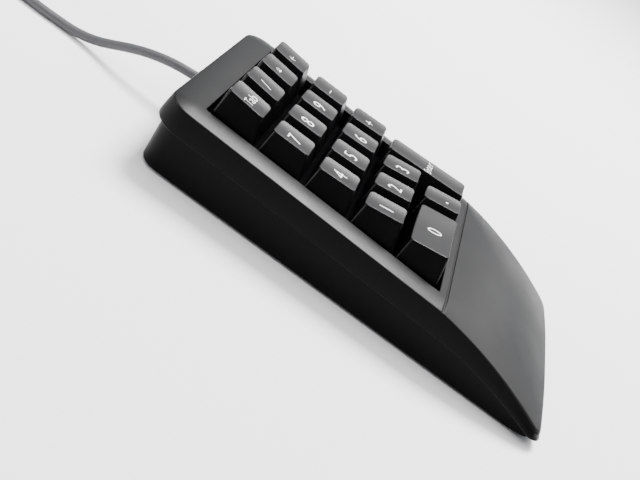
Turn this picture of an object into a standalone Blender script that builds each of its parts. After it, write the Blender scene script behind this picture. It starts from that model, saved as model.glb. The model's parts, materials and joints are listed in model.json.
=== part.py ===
"""Numeric keypad: a two-part housing, eighteen keys on rubber domes, and a cord with its plug.

World axes: +X to the typist's right, +Y to the rear, +Z up, in metres. The origin is under the middle
of the body, on the surface that the four feet stand on. Keys, frame, domes and membranes are modelled
on the key deck, which leans a little towards the typist: there, z is the height above the deck.
"""
import math

import bmesh
import bpy
import numpy as np
from mathutils import Matrix, Vector

CLEARANCE = 0.0003          # left between pieces that touch

# Keys
KEY_PITCH = 0.01905
KEY_SPACE_X = 0.00095       # between neighbouring skirts
KEY_SPACE_Y = 0.00175
KEY_TRAVEL = 0.0035
SKIRT_DEPTH = 0.0020        # skirt's lower edge, below the deck
KEY_WALL = 0.0012
KEY_ROOF = 0.0015
KEY_LEAN_SIDE = 0.00315     # how far each wall leans in, from skirt to face
KEY_LEAN_FRONT = 0.00305
KEY_LEAN_REAR = 0.0002
FACE_CORNER = 0.0015
SKIRT_CORNER = 0.0006
DISH_DEPTH = 0.0007
STEM_RADIUS = 0.0031
STEM_DEPTH = 0.0077         # stem's end, below the deck

FACE_SHIFT = 0.0012         # a face's middle lies this far to the rear of its stem

# Rows from the rear: height of the faces above the deck, and their slope (positive: rear edge higher)
ROW_FACES = (
    (0.00795, math.radians(4.1)),
    (0.00678, math.radians(-1.4)),
    (0.00672, math.radians(-3.9)),
    (0.00750, math.radians(-10.0)),
    (0.00775, math.radians(-10.6)),
)
ENTER_FACE = (0.00719, math.radians(-4.5))

# Name, first column, first row, columns taken, rows taken
KEYS = (
    ("tab", 0, 0, 1, 1), ("divide", 1, 0, 1, 1), ("multiply", 2, 0, 1, 1), ("backspace", 3, 0, 1, 1),
    ("7", 0, 1, 1, 1), ("8", 1, 1, 1, 1), ("9", 2, 1, 1, 1), ("minus", 3, 1, 1, 1),
    ("4", 0, 2, 1, 1), ("5", 1, 2, 1, 1), ("6", 2, 2, 1, 1), ("plus", 3, 2, 1, 1),
    ("1", 0, 3, 1, 1), ("2", 1, 3, 1, 1), ("3", 2, 3, 1, 1), ("enter", 3, 3, 1, 2),
    ("0", 0, 4, 2, 1), ("decimal", 2, 4, 1, 1),
)
COLUMNS = 4
ROWS = 5

# Key well and the body around it
WELL_SIDE_MARGIN = 0.0016
WELL_REAR_MARGIN = 0.000625
WELL_FRONT_MARGIN = 0.000075
WELL_CORNER = 0.0010
WELL_WALL = 0.0012
WELL_DEPTH = 0.0057
SIDE_BORDER = 0.0098
REAR_BORDER = 0.01245
PALM_LENGTH = 0.0579
REAR_CORNER = 0.0100
FRONT_CORNER = 0.0055

# Upper housing
HOUSING_WALL = 0.0020
DECK_TILT = math.radians(1.81)
DECK_HEIGHT = 0.02433       # deck above the desk, over the origin
EDGE_INSET = 0.0010         # the side band leans in by this, from rim to top edge
CROWN = 0.0012              # rise of the top from its edge to the well
CROWN_MARGIN = 0.0088
PALM_CROWN = 0.0020
PALM_CROWN_MARGIN = 0.0400
PALM_BLEND = 0.0300         # length over which the deck's crown becomes the palm's
PALM_BREAK = 0.081          # slope that the palm adds at the groove
PALM_RADIUS = 0.145
BAND_HEIGHT = 0.0083
BAND_TAPER = 0.083
GROOVE_SETBACK = 0.0033
GROOVE_WIDTH = 0.0009
GROOVE_DEPTH = 0.0008

# Lower shell
FOOT_PROUD = 0.0008
FLOOR = 0.0020
LOWER_INSET = 0.0022        # lower shell's outer face at the seam, in from the rim
LOWER_DRAFT = 0.0006
FLOOR_CHAMFER = 0.0004
NOSE_RUN = 0.0100           # length over which the floor curves up at the front
NOSE_RISE = 0.0012
LIP_SETBACK = 0.0010
LIP_THICKNESS = 0.0010
LIP_HEIGHT = 0.0010

# Key frame and the stack under it
FRAME_THICKNESS = 0.0014
FRAME_SKIRT = 0.0012
CHIMNEY_RADIUS = 0.0047
CHIMNEY_TOP = 0.0032        # below the deck
BORE_RADIUS = STEM_RADIUS + CLEARANCE
DOME_HEIGHT = 0.0042
DOME_BASE_RADIUS = 0.0052
DOME_TOP_RADIUS = 0.0026
DOME_WALL = 0.0008
MEMBRANE = 0.0003
PLATE = 0.0008
TAIL_WIDTH = 0.0140
TAIL_LENGTH = 0.0120

# Stabiliser wires
WIRE_RADIUS = 0.0006
WIRE_ARM = 0.0070
WIRE_HALF_SPAN = 0.0120
WIRE_END = 0.0028
WIRE_BEND = 0.0012          # corner's length along each leg
PIVOT_DEPTH = 0.0032        # pivot line below the deck
PIVOT_OFFSET = -0.0007      # pivot line from the key's middle
LUG_LENGTH = 0.0016
LUG_HALF_DEPTH = 0.0015
LUG_ROOF = 0.0007           # plastic above the wire's hole
HOOK_OFFSET = 0.0080        # hook from the key's middle, along the wire
HOOK_HALF_LENGTH = 0.0012
HOOK_THICKNESS = 0.0010

# Controller board
BOARD_LENGTH = 0.0400
BOARD_DEPTH = 0.0180
BOARD = 0.0012
BOARD_POST_RADIUS = 0.0020
BOARD_POST_SETBACK_X = 0.0040
BOARD_POST_SETBACK_Y = 0.0025
BOARD_SETBACK = 0.0020      # board's rear edge, in front of the key frame
CHIP_SIZE = 0.0070
CHIP_HEIGHT = 0.0013

# Screws, feet and posts
SCREW_RADIUS = 0.0013
SCREW_HEAD_RADIUS = 0.0022
SCREW_HEAD = 0.0018
SCREW_HEAD_DEPTH = 0.0012   # head's lower face above the shell's underside
SCREW_BITE = 0.0060
BOSS_RADIUS = 0.0026
LOWER_BOSS_RADIUS = 0.0035
REAR_SCREW_X = 0.0380
FRONT_SCREW_X = 0.0340
REAR_SPLIT = 0.0110         # height where upper and lower bosses meet
FRONT_SPLIT = 0.0080
FRONT_SCREW_SETBACK = 0.02475
FOOT_RADIUS = 0.0050
FOOT_RECESS = 0.0007
FOOT_X = 0.0380
REAR_FOOT_INSET = 0.0212
FRONT_FOOT_INSET = 0.0212
POST_RADIUS = 0.0025

# Cord, strain relief and plug
CORD_RADIUS = 0.0018
LEAD_RADIUS = 0.0012
RELIEF_RADIUS = 0.0035
RELIEF_FLANGE_RADIUS = 0.0046
RELIEF_FLANGE = 0.0010
RELIEF_PROUD = 0.0012
RELIEF_DROP = 0.0012        # its middle, below the seam
RELIEF_SLEEVE = 0.0008      # thickness around the cord at the outer end
RELIEF_HOLE_LENGTH = 0.0060
COIL_INNER_RADIUS = 0.0144
COIL_OUTER_RADIUS = 0.0297
COIL_HEIGHT = 0.0112
COIL_CENTRE = (0.0276, 0.1800)
PLUG_FACE = (0.0835, 0.2070)      # where the cord enters the grip
GRIP_LENGTH = 0.0210
GRIP_WIDTH = 0.0155
GRIP_HEIGHT = 0.0080
GRIP_CORNER = 0.0020
SHELL_LENGTH = 0.0140
SHELL_WIDTH = 0.0120
SHELL_HEIGHT = 0.0045
SHELL_WALL = 0.0004
TONGUE_WIDTH = 0.0104
TONGUE_HEIGHT = 0.0018
TONGUE_LENGTH = 0.0115
PLUG_BACK = 0.0020

ROUND_STEPS = 12
DOME_STEPS = 10
RING_STEPS = 32

# Worked out from the sizes above
SLOPE = math.tan(DECK_TILT)
WELL_WIDTH = COLUMNS * KEY_PITCH + 2 * WELL_SIDE_MARGIN
WELL_LENGTH = ROWS * KEY_PITCH + WELL_REAR_MARGIN + WELL_FRONT_MARGIN
HALF_WIDTH = WELL_WIDTH / 2 + SIDE_BORDER
HALF_LENGTH = (WELL_LENGTH + REAR_BORDER + PALM_LENGTH) / 2
WELL_REAR = HALF_LENGTH - REAR_BORDER
WELL_FRONT = WELL_REAR - WELL_LENGTH
GROOVE_Y = WELL_FRONT - GROOVE_SETBACK
PALM_START = GROOVE_Y + GROOVE_WIDTH / 2
FRAME_TOP = -WELL_DEPTH - CLEARANCE
DOME_TOP = -STEM_DEPTH - CLEARANCE
DOME_BASE = DOME_TOP - DOME_HEIGHT
UPPER_SHEET_TOP = DOME_BASE - CLEARANCE
LOWER_SHEET_TOP = UPPER_SHEET_TOP - MEMBRANE - CLEARANCE
PLATE_TOP = LOWER_SHEET_TOP - MEMBRANE - CLEARANCE
FRAME_MARGIN = WELL_WALL - CLEARANCE     # frame's reach past the well, on each side
UNDERSIDE = FOOT_PROUD
FLOOR_TOP = UNDERSIDE + FLOOR
WIRE_SWING = math.asin(KEY_TRAVEL / 2 / WIRE_ARM)
FRONT_SCREW_Y = WELL_FRONT - FRONT_SCREW_SETBACK
RELIEF_INSIDE = HALF_LENGTH - LOWER_INSET - LIP_SETBACK - LIP_THICKNESS - CLEARANCE
REAR_SCREW_Y = RELIEF_INSIDE - BOSS_RADIUS


# Shape of the body

def past_groove(y):
    return max(0.0, PALM_START - y)


def deck_height(y):
    return DECK_HEIGHT + SLOPE * y


def edge_height(y):
    """Height of the housing's top edge: straight along the deck, then an arc down the palm."""
    run = past_groove(y)
    return deck_height(y) - CROWN - PALM_BREAK * run - run * run / (2 * PALM_RADIUS)


def seam_height(y):
    return edge_height(y) - BAND_HEIGHT + BAND_TAPER * past_groove(y)


def top_height(x, y):
    """Height of the housing's upper face, which rises from its side and rear edges to the well."""
    blend = min(1.0, past_groove(y) / PALM_BLEND)
    margin = CROWN_MARGIN + blend * (PALM_CROWN_MARGIN - CROWN_MARGIN)
    rise = CROWN + blend * (PALM_CROWN - CROWN)
    from_side = (HALF_WIDTH - EDGE_INSET - abs(x)) / margin
    from_rear = (HALF_LENGTH - EDGE_INSET - y) / CROWN_MARGIN
    inward = min(1.0, max(0.0, min(from_side, from_rear)))
    return edge_height(y) + rise * (1 - (1 - inward) ** 2)


def stack_height(y, depth):
    """World height at y of a plane that lies at depth z on the deck."""
    return deck_height(y) + depth / math.cos(DECK_TILT)


# Building blocks

def rounded_rectangle(x0, x1, y0, y1, front_radius, rear_radius, side_steps, end_steps, corner_steps=3):
    """Outline points, anticlockwise from the front right corner."""
    corners = (
        (x1 - front_radius, y0 + front_radius, front_radius, -90),
        (x1 - rear_radius, y1 - rear_radius, rear_radius, 0),
        (x0 + rear_radius, y1 - rear_radius, rear_radius, 90),
        (x0 + front_radius, y0 + front_radius, front_radius, 180),
    )
    arcs = []
    for x, y, radius, start in corners:
        turns = [math.radians(start + 90 * step / corner_steps) for step in range(corner_steps + 1)]
        arcs.append([Vector((x + radius * math.cos(a), y + radius * math.sin(a))) for a in turns])
    points = []
    for arc, following, steps in zip(arcs, arcs[1:] + arcs[:1], (side_steps, end_steps) * 2):
        points += arc
        points += [arc[-1].lerp(following[0], step / steps) for step in range(1, steps)]
    return points


def body_outline(inset, front=None):
    """The body's outline, moved in by inset; its front can end earlier."""
    return rounded_rectangle(
        -HALF_WIDTH + inset, HALF_WIDTH - inset,
        -HALF_LENGTH + inset if front is None else front, HALF_LENGTH - inset,
        max(FRONT_CORNER - inset, 0.0005), max(REAR_CORNER - inset, 0.0005), 14, 6)


def well_outline(outset):
    radius = WELL_CORNER + outset
    return rounded_rectangle(
        -WELL_WIDTH / 2 - outset, WELL_WIDTH / 2 + outset, WELL_FRONT - outset, WELL_REAR + outset,
        radius, radius, 14, 6)


def raised(outline, height):
    """An outline's points, each at the height that height(x, y) gives."""
    return [(p.x, p.y, height(p.x, p.y)) for p in outline]


def flat(outline, z):
    return [(p[0], p[1], z) for p in outline]


def circle(radius, z, steps, x=0.0, y=0.0):
    turns = [2 * math.pi * step / steps for step in range(steps)]
    return [(x + radius * math.cos(a), y + radius * math.sin(a), z) for a in turns]


def loft(work, rings, closed=False):
    """Skin between rings of equal counts. Closed joins the last ring to the first; else both ends are capped."""
    loops = [[work.verts.new(point) for point in ring] for ring in rings]
    for low, high in zip(loops, loops[1:] + loops[:1] if closed else loops[1:]):
        for i in range(len(low)):
            j = (i + 1) % len(low)
            work.faces.new((low[i], low[j], high[j], high[i]))
    if not closed:
        work.faces.new(loops[0])
        work.faces.new(loops[-1])


def turned(work, profile, steps, closed=False, x=0.0, y=0.0):
    """A solid turned about Z from (radius, z) points."""
    loft(work, [circle(radius, z, steps, x, y) for radius, z in profile], closed)


def box(work, x0, x1, y0, y1, z0, z1):
    outline = ((x0, y0), (x1, y0), (x1, y1), (x0, y1))
    loft(work, [flat(outline, z0), flat(outline, z1)])


def finish_mesh(name, work, material):
    bmesh.ops.recalc_face_normals(work, faces=work.faces)
    mesh = bpy.data.meshes.new(name)
    work.to_mesh(mesh)
    work.free()
    mesh.materials.append(material)
    mesh.shade_smooth()
    mesh.set_sharp_from_angle(angle=math.radians(35))
    return mesh


def place(name, data, parent=None, location=(0, 0, 0), rotation=(0, 0, 0)):
    thing = bpy.data.objects.new(name, data)
    bpy.context.scene.collection.objects.link(thing)
    thing.parent = parent
    thing.location = location
    thing.rotation_euler = rotation
    return thing


def shape_with(target, operation, name, work):
    """Adds a Boolean to the target, with the shape in work as its hidden second operand."""
    tool = place(name, finish_mesh(name, work, target.data.materials[0]), target.parent,
                 target.location, target.rotation_euler)
    tool.hide_render = True
    tool.display_type = 'WIRE'
    modifier = target.modifiers.new(name, 'BOOLEAN')
    modifier.operation = operation
    modifier.solver = 'EXACT'
    modifier.object = tool


def material(name, colour, roughness, metallic=0.0):
    made = bpy.data.materials.new(name)
    made.use_nodes = True
    shader = made.node_tree.nodes["Principled BSDF"]
    shader.inputs["Base Color"].default_value = (*colour, 1.0)
    shader.inputs["Roughness"].default_value = roughness
    shader.inputs["Metallic"].default_value = metallic
    return made


def smooth_route(route, spacing):
    """Points about spacing apart on a smooth curve through the route's own points."""
    points = [Vector(p) for p in route]
    ends = [2 * points[0] - points[1]] + points + [2 * points[-1] - points[-2]]
    curve = []
    for a, b, c, d in zip(ends, ends[1:], ends[2:], ends[3:]):
        count = max(1, round((c - b).length / spacing))
        for step in range(count):
            t = step / count
            curve.append(0.5 * (2 * b + (c - a) * t + (2 * a - 5 * b + 4 * c - d) * t ** 2
                                + (3 * b - a - 3 * c + d) * t ** 3))
    return curve + [points[-1]]


def tube(name, route, radius, spacing, matter, parent=None, location=(0, 0, 0)):
    points = smooth_route(route, spacing) if spacing else route
    curve = bpy.data.curves.new(name, 'CURVE')
    curve.dimensions = '3D'
    curve.bevel_depth = radius
    curve.bevel_resolution = 2
    curve.use_fill_caps = True
    spline = curve.splines.new('POLY')
    spline.points.add(len(points) - 1)
    for point, at in zip(spline.points, points):
        point.co = (*at, 1.0)
    curve.materials.append(matter)
    return place(name, curve, parent, location)


# Housing

def screw_places():
    """(x, y, height where the bosses meet) of the four housing screws."""
    return [(side * x, y, split)
            for x, y, split in ((REAR_SCREW_X, REAR_SCREW_Y, REAR_SPLIT),
                                (FRONT_SCREW_X, FRONT_SCREW_Y, FRONT_SPLIT))
            for side in (-1, 1)]


def foot_places():
    return [(side * FOOT_X, y)
            for y in (HALF_LENGTH - REAR_FOOT_INSET, -HALF_LENGTH + FRONT_FOOT_INSET)
            for side in (-1, 1)]


def relief_height():
    return seam_height(HALF_LENGTH) - RELIEF_DROP


def relief_passage():
    """Clearance hole for the strain relief, through the rear walls at the seam."""
    work = bmesh.new()
    radius = RELIEF_RADIUS + CLEARANCE
    end = HALF_LENGTH + RELIEF_PROUD
    turned(work, ((radius, end - RELIEF_HOLE_LENGTH), (radius, end)), ROUND_STEPS)
    to_rear = Matrix.Translation((0, 0, relief_height())) @ Matrix.Rotation(math.radians(-90), 4, 'X')
    bmesh.ops.transform(work, matrix=to_rear, verts=work.verts)
    return work


def make_top_housing(matter):
    edge = body_outline(EDGE_INSET)
    inner_edge = body_outline(EDGE_INSET + HOUSING_WALL)
    well = well_outline(0)
    well_outside = well_outline(WELL_WALL)
    spread = (0.0, 0.12, 0.25, 0.4, 0.55, 0.7, 0.85, 0.95, 1.0)
    rings = [raised([a.lerp(b, s) for a, b in zip(well, edge)], top_height) for s in spread]
    rings.append(raised(body_outline(0), lambda x, y: seam_height(y)))
    rings.append(raised(body_outline(HOUSING_WALL), lambda x, y: seam_height(y)))
    for s in (1.0, 0.8, 0.6, 0.4, 0.2, 0.0):
        between = [a.lerp(b, s) for a, b in zip(well_outside, inner_edge)]
        rings.append(raised(between, lambda x, y: top_height(x, y) - HOUSING_WALL))
    rings.append(raised(well_outside, lambda x, y: deck_height(y) - WELL_DEPTH))
    rings.append(raised(well, lambda x, y: deck_height(y) - WELL_DEPTH))
    work = bmesh.new()
    loft(work, rings, closed=True)
    housing = place("top_housing", finish_mesh("top_housing", work, matter))

    bosses = bmesh.new()
    pilots = bmesh.new()
    for x, y, split in screw_places():
        roof = top_height(x, y) - HOUSING_WALL / 2
        turned(bosses, ((BOSS_RADIUS, split), (BOSS_RADIUS, roof)), ROUND_STEPS, x=x, y=y)
        hole = SCREW_RADIUS + CLEARANCE
        turned(pilots, ((hole, split - 0.001), (hole, split + SCREW_BITE + CLEARANCE)), ROUND_STEPS, x=x, y=y)
    shape_with(housing, 'UNION', "housing_bosses", bosses)
    shape_with(housing, 'DIFFERENCE', "housing_pilots", pilots)
    shape_with(housing, 'DIFFERENCE', "housing_relief_passage", relief_passage())

    groove = bmesh.new()
    bottom = edge_height(GROOVE_Y)
    reach = HALF_WIDTH - EDGE_INSET
    profile = [(-reach, bottom), (-reach + CROWN_MARGIN, bottom + CROWN - GROOVE_DEPTH),
               (reach - CROWN_MARGIN, bottom + CROWN - GROOVE_DEPTH), (reach, bottom),
               (reach, bottom + 0.005), (-reach, bottom + 0.005)]
    faces = [[(x, GROOVE_Y + side * GROOVE_WIDTH / 2, z) for x, z in profile] for side in (-1, 1)]
    loft(groove, faces)
    shape_with(housing, 'DIFFERENCE', "housing_groove", groove)


def make_bottom_shell(matter):
    def under(x, y):
        run = max(0.0, -HALF_LENGTH + LOWER_INSET + LOWER_DRAFT + NOSE_RUN - y)
        return UNDERSIDE + FLOOR_CHAMFER + NOSE_RISE * (run / NOSE_RUN) ** 2

    def seam(x, y):
        return seam_height(y) - CLEARANCE

    foot_line = LOWER_INSET + LOWER_DRAFT
    lip = LOWER_INSET + LIP_SETBACK
    inner = lip + LIP_THICKNESS
    flat_front = -HALF_LENGTH + foot_line + NOSE_RUN
    rings = [
        flat(body_outline(foot_line + FLOOR_CHAMFER, flat_front), UNDERSIDE),
        raised(body_outline(foot_line), under),
        raised(body_outline(LOWER_INSET), seam),
        raised(body_outline(lip), seam),
        raised(body_outline(lip), lambda x, y: seam_height(y) + LIP_HEIGHT),
        raised(body_outline(inner), lambda x, y: seam_height(y) + LIP_HEIGHT),
        flat(body_outline(inner + 0.0004), FLOOR_TOP),
    ]
    work = bmesh.new()
    loft(work, rings)
    shell = place("bottom_shell", finish_mesh("bottom_shell", work, matter))

    posts = bmesh.new()
    holes = bmesh.new()
    sunk = FLOOR_TOP - FLOOR / 2
    for x, y, split in screw_places():
        turned(posts, ((LOWER_BOSS_RADIUS, sunk), (LOWER_BOSS_RADIUS, split - CLEARANCE)), ROUND_STEPS, x=x, y=y)
        shank = SCREW_RADIUS + CLEARANCE
        head = SCREW_HEAD_RADIUS + CLEARANCE
        seat = UNDERSIDE + SCREW_HEAD_DEPTH + SCREW_HEAD + CLEARANCE
        turned(holes, ((head, 0), (head, seat), (shank, seat), (shank, split + 0.001)), ROUND_STEPS, x=x, y=y)
    for row in (0, 2, 4):
        for column in (0, COLUMNS - 1):
            x = (column - (COLUMNS - 1) / 2) * KEY_PITCH
            y = row_y(row)
            roof = stack_height(y - POST_RADIUS, PLATE_TOP - PLATE) - CLEARANCE
            turned(posts, ((POST_RADIUS, sunk), (POST_RADIUS, roof)), ROUND_STEPS, x=x, y=y)
    for x in (-1, 1):
        for y in (-1, 1):
            turned(posts, ((BOARD_POST_RADIUS, sunk), (BOARD_POST_RADIUS, board_height() - CLEARANCE)),
                   ROUND_STEPS, x=x * (BOARD_LENGTH / 2 - BOARD_POST_SETBACK_X),
                   y=board_y() + y * (BOARD_DEPTH / 2 - BOARD_POST_SETBACK_Y))
    for x, y in foot_places():
        radius = FOOT_RADIUS + CLEARANCE
        turned(holes, ((radius, 0), (radius, UNDERSIDE + FOOT_RECESS)), ROUND_STEPS, x=x, y=y)
    shape_with(shell, 'UNION', "shell_posts", posts)
    shape_with(shell, 'DIFFERENCE', "shell_holes", holes)
    shape_with(shell, 'DIFFERENCE', "shell_relief_passage", relief_passage())


def make_screws(matter):
    for name, (x, y, split) in zip(("rear_left", "rear_right", "front_left", "front_right"), screw_places()):
        work = bmesh.new()
        head = UNDERSIDE + SCREW_HEAD_DEPTH
        turned(work, ((SCREW_HEAD_RADIUS, head), (SCREW_HEAD_RADIUS, head + SCREW_HEAD),
                      (SCREW_RADIUS, head + SCREW_HEAD), (SCREW_RADIUS, split + SCREW_BITE)), ROUND_STEPS)
        place("housing_screw_" + name, finish_mesh("housing_screw", work, matter), location=(x, y, 0))


def make_feet(matter):
    work = bmesh.new()
    turned(work, ((FOOT_RADIUS, 0), (FOOT_RADIUS, UNDERSIDE + FOOT_RECESS - CLEARANCE)), 2 * ROUND_STEPS)
    pad = finish_mesh("rubber_foot", work, matter)
    for name, (x, y) in zip(("rear_left", "rear_right", "front_left", "front_right"), foot_places()):
        place("rubber_foot_" + name, pad, location=(x, y, 0))


# Keys and what they press

def row_y(row):
    return WELL_REAR - WELL_REAR_MARGIN - (row + 0.5) * KEY_PITCH


def key_place(key):
    """Middle of a key on the deck."""
    name, column, row, wide, tall = key
    x = (column + wide / 2 - COLUMNS / 2) * KEY_PITCH
    return x, (row_y(row) + row_y(row + tall - 1)) / 2 / math.cos(DECK_TILT)


def key_face(key):
    return ENTER_FACE if key[4] == 2 else ROW_FACES[key[2]]


def keycap(work, key):
    """Hollow cap with a dished face and a round stem; its origin is the key's middle, on the deck."""
    name, column, row, wide, tall = key
    height, tilt = key_face(key)
    half_x = (wide * KEY_PITCH - KEY_SPACE_X) / 2
    half_y = (tall * KEY_PITCH - KEY_SPACE_Y) / 2
    corner_steps, end_steps = 2, 3

    def outline(side, front, rear, radius):
        x = half_x - side
        return rounded_rectangle(-x, x, front - half_y, half_y - rear, radius, radius, 1, end_steps, corner_steps)

    def face(x, y):
        dish = 1 - min(1.0, (x / (half_x - KEY_LEAN_SIDE)) ** 2)
        return height + (y - FACE_SHIFT) * math.tan(tilt) - DISH_DEPTH * dish

    def roof(x, y):
        return height + (y - FACE_SHIFT) * math.tan(tilt) - DISH_DEPTH - KEY_ROOF

    top = outline(KEY_LEAN_SIDE, KEY_LEAN_FRONT, KEY_LEAN_REAR, FACE_CORNER)
    count = len(top)
    side_of_corner = corner_steps + 1
    middles = [corner_steps / 2, side_of_corner + corner_steps / 2]
    middles += [middles[1] + side_of_corner + end_steps - 1]
    middles += [middles[2] + side_of_corner]
    angles = np.interp(range(count), [middles[3] - count] + middles + [middles[0] + count],
                       [-135, -45, 45, 135, 225, 315])
    stem = [Vector((STEM_RADIUS * math.cos(math.radians(a)), STEM_RADIUS * math.sin(math.radians(a))))
            for a in angles]
    rings = [
        raised(top, face),
        flat(outline(0, 0, 0, SKIRT_CORNER), -SKIRT_DEPTH),
        flat(outline(KEY_WALL, KEY_WALL, KEY_WALL, SKIRT_CORNER), -SKIRT_DEPTH),
        raised(outline(KEY_LEAN_SIDE + KEY_WALL, KEY_LEAN_FRONT + KEY_WALL, KEY_LEAN_REAR + KEY_WALL,
                       FACE_CORNER / 2), roof),
        raised(stem, roof),
        flat(stem, -STEM_DEPTH),
    ]
    loops = [[work.verts.new(point) for point in ring] for ring in rings]
    for low, high in zip(loops, loops[1:]):
        for i in range(count):
            j = (i + 1) % count
            work.faces.new((low[i], low[j], high[j], high[i]))
    work.faces.new(loops[-1])
    opposite = 2 * corner_steps + 1
    first = count - side_of_corner - (end_steps - 1)
    front = list(range(first, count)) + list(range(side_of_corner))
    for i, j in zip(front, front[1:]):
        work.faces.new([loops[0][k] for k in (i, j, (opposite - j) % count, (opposite - i) % count)])


def wire_along_x(key):
    return key[3] == 2


def make_keys(deck, cap_matter, dome_matter):
    dome = bmesh.new()
    turned(dome, (
        (DOME_TOP_RADIUS, DOME_TOP), (DOME_TOP_RADIUS + 0.0004, DOME_TOP - 0.0004),
        (DOME_BASE_RADIUS - DOME_WALL, DOME_BASE + 0.0006), (DOME_BASE_RADIUS, DOME_BASE + 0.0005),
        (DOME_BASE_RADIUS, DOME_BASE), (DOME_BASE_RADIUS - 1.6 * DOME_WALL, DOME_BASE),
        (DOME_TOP_RADIUS - 0.0004, DOME_TOP - DOME_WALL),
    ), DOME_STEPS)
    dome_mesh = finish_mesh("dome", dome, dome_matter)
    caps = {}
    for key in KEYS:
        name, column, row, wide, tall = key
        kind = (row, wide, tall)
        if kind not in caps:
            work = bmesh.new()
            keycap(work, key)
            caps[kind] = finish_mesh("keycap", work, cap_matter)
        x, y = key_place(key)
        cap = place("keycap_" + name, caps[kind], deck, (x, y, 0))
        place("dome_" + name, dome_mesh, deck, (x, y, 0))
        if wide == 2 or tall == 2:
            shape_with(cap, 'UNION', "hooks_" + name, wire_hooks(key))


def across(point, along_x):
    """A point given as (along the wire, across it, height), turned to the deck's x, y, z."""
    along, over, z = point
    return (along, over, z) if along_x else (over, along, z)


def wire_hooks(key):
    """Two hooks that hang from the cap's roof over the stabiliser wire."""
    along_x = wire_along_x(key)
    height, tilt = key_face(key)
    wall_top = ((KEY_PITCH - KEY_SPACE_Y) / 2 - KEY_LEAN_REAR if along_x
                else (KEY_PITCH - KEY_SPACE_X) / 2 - KEY_LEAN_SIDE)
    bar = PIVOT_OFFSET + WIRE_ARM * math.cos(WIRE_SWING)
    notch = bar - WIRE_RADIUS - CLEARANCE
    near = notch - HOOK_THICKNESS
    far = bar + WIRE_RADIUS
    far_top = wall_top - KEY_WALL / 4
    roof_of_notch = -PIVOT_DEPTH + KEY_TRAVEL / 2 + WIRE_RADIUS + CLEARANCE
    work = bmesh.new()
    for side in (-1, 1):
        middle = side * HOOK_OFFSET
        y = (near + far_top) / 2 if along_x else middle
        top = height + (y - FACE_SHIFT) * math.tan(tilt) - DISH_DEPTH - KEY_ROOF / 2
        profile = ((near, -SKIRT_DEPTH), (notch, -SKIRT_DEPTH), (notch, roof_of_notch),
                   (far, roof_of_notch), (far_top, top), (near, top))
        ends = [[across((middle + end * HOOK_HALF_LENGTH, over, z), along_x) for over, z in profile]
                for end in (-1, 1)]
        loft(work, ends)
    return work


def make_stabilisers(deck, matter):
    """Each wire's origin is on its pivot line; at rest its arms point up by half of its swing."""
    for key in KEYS:
        name, column, row, wide, tall = key
        if wide == 1 and tall == 1:
            continue
        along_x = wire_along_x(key)
        x, y = key_place(key)
        offset = across((0, PIVOT_OFFSET, -PIVOT_DEPTH), along_x)
        reach, rise = WIRE_ARM * math.cos(WIRE_SWING), WIRE_ARM * math.sin(WIRE_SWING)
        half, fillet = WIRE_HALF_SPAN, WIRE_BEND
        lift = fillet / WIRE_ARM
        side = [
            (half + WIRE_END, 0, 0), (half + fillet, 0, 0), (half, fillet, rise * lift),
            (half, reach - fillet, rise * (1 - lift)), (half - fillet, reach, rise),
        ]
        route = side + [(-along, over, z) for along, over, z in reversed(side)]
        label = "zero" if along_x else name
        tube("stabiliser_bar_" + label, [across(p, along_x) for p in route], WIRE_RADIUS, None, matter,
             deck, Vector((x, y, 0)) + Vector(offset))


def make_key_frame(deck, matter):
    front, rear = (WELL_FRONT - FRAME_MARGIN, WELL_REAR + FRAME_MARGIN)
    half = WELL_WIDTH / 2 + FRAME_MARGIN
    underside = FRAME_TOP - FRAME_THICKNESS
    outside = ((-half, front), (half, front), (half, rear), (-half, rear))
    inside = [(x - math.copysign(FRAME_SKIRT, x), y + (FRAME_SKIRT if y == front else -FRAME_SKIRT))
              for x, y in outside]
    work = bmesh.new()
    loft(work, [flat(outside, FRAME_TOP), flat(outside, DOME_BASE), flat(inside, DOME_BASE),
                flat(inside, underside)])
    frame = place("key_frame", finish_mesh("key_frame", work, matter), deck)

    chimneys = bmesh.new()
    bores = bmesh.new()
    sunk = FRAME_TOP - FRAME_THICKNESS / 2
    for key in KEYS:
        name, column, row, wide, tall = key
        x, y = key_place(key)
        turned(chimneys, ((CHIMNEY_RADIUS, sunk), (CHIMNEY_RADIUS, -CHIMNEY_TOP)), ROUND_STEPS, x=x, y=y)
        turned(bores, ((BORE_RADIUS, underside - 0.001), (BORE_RADIUS, -CHIMNEY_TOP + 0.001)),
               ROUND_STEPS, x=x, y=y)
        if wide == 1 and tall == 1:
            continue
        along_x = wire_along_x(key)
        inner = WIRE_HALF_SPAN + WIRE_BEND + CLEARANCE
        for side in (-1, 1):
            span = [(inner, sunk), (inner + LUG_LENGTH, sunk),
                    (inner + LUG_LENGTH, WIRE_RADIUS + CLEARANCE + LUG_ROOF - PIVOT_DEPTH),
                    (inner, WIRE_RADIUS + CLEARANCE + LUG_ROOF - PIVOT_DEPTH)]
            ends = [[across((side * a, PIVOT_OFFSET + edge * LUG_HALF_DEPTH, z), along_x) for a, z in span]
                    for edge in (-1, 1)]
            loft(chimneys, [[(x + p[0], y + p[1], p[2]) for p in ring] for ring in ends])
            hole = WIRE_RADIUS + CLEARANCE
            ring = [(hole * math.cos(a), hole * math.sin(a))
                    for a in (2 * math.pi * step / ROUND_STEPS for step in range(ROUND_STEPS))]
            ends = [[across((side * a, PIVOT_OFFSET + u, v - PIVOT_DEPTH), along_x) for u, v in ring]
                    for a in (inner - 0.001, inner + LUG_LENGTH + 0.001)]
            loft(bores, [[(x + p[0], y + p[1], p[2]) for p in ring] for ring in ends])
    shape_with(frame, 'UNION', "frame_chimneys", chimneys)
    shape_with(frame, 'DIFFERENCE', "frame_bores", bores)


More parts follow.
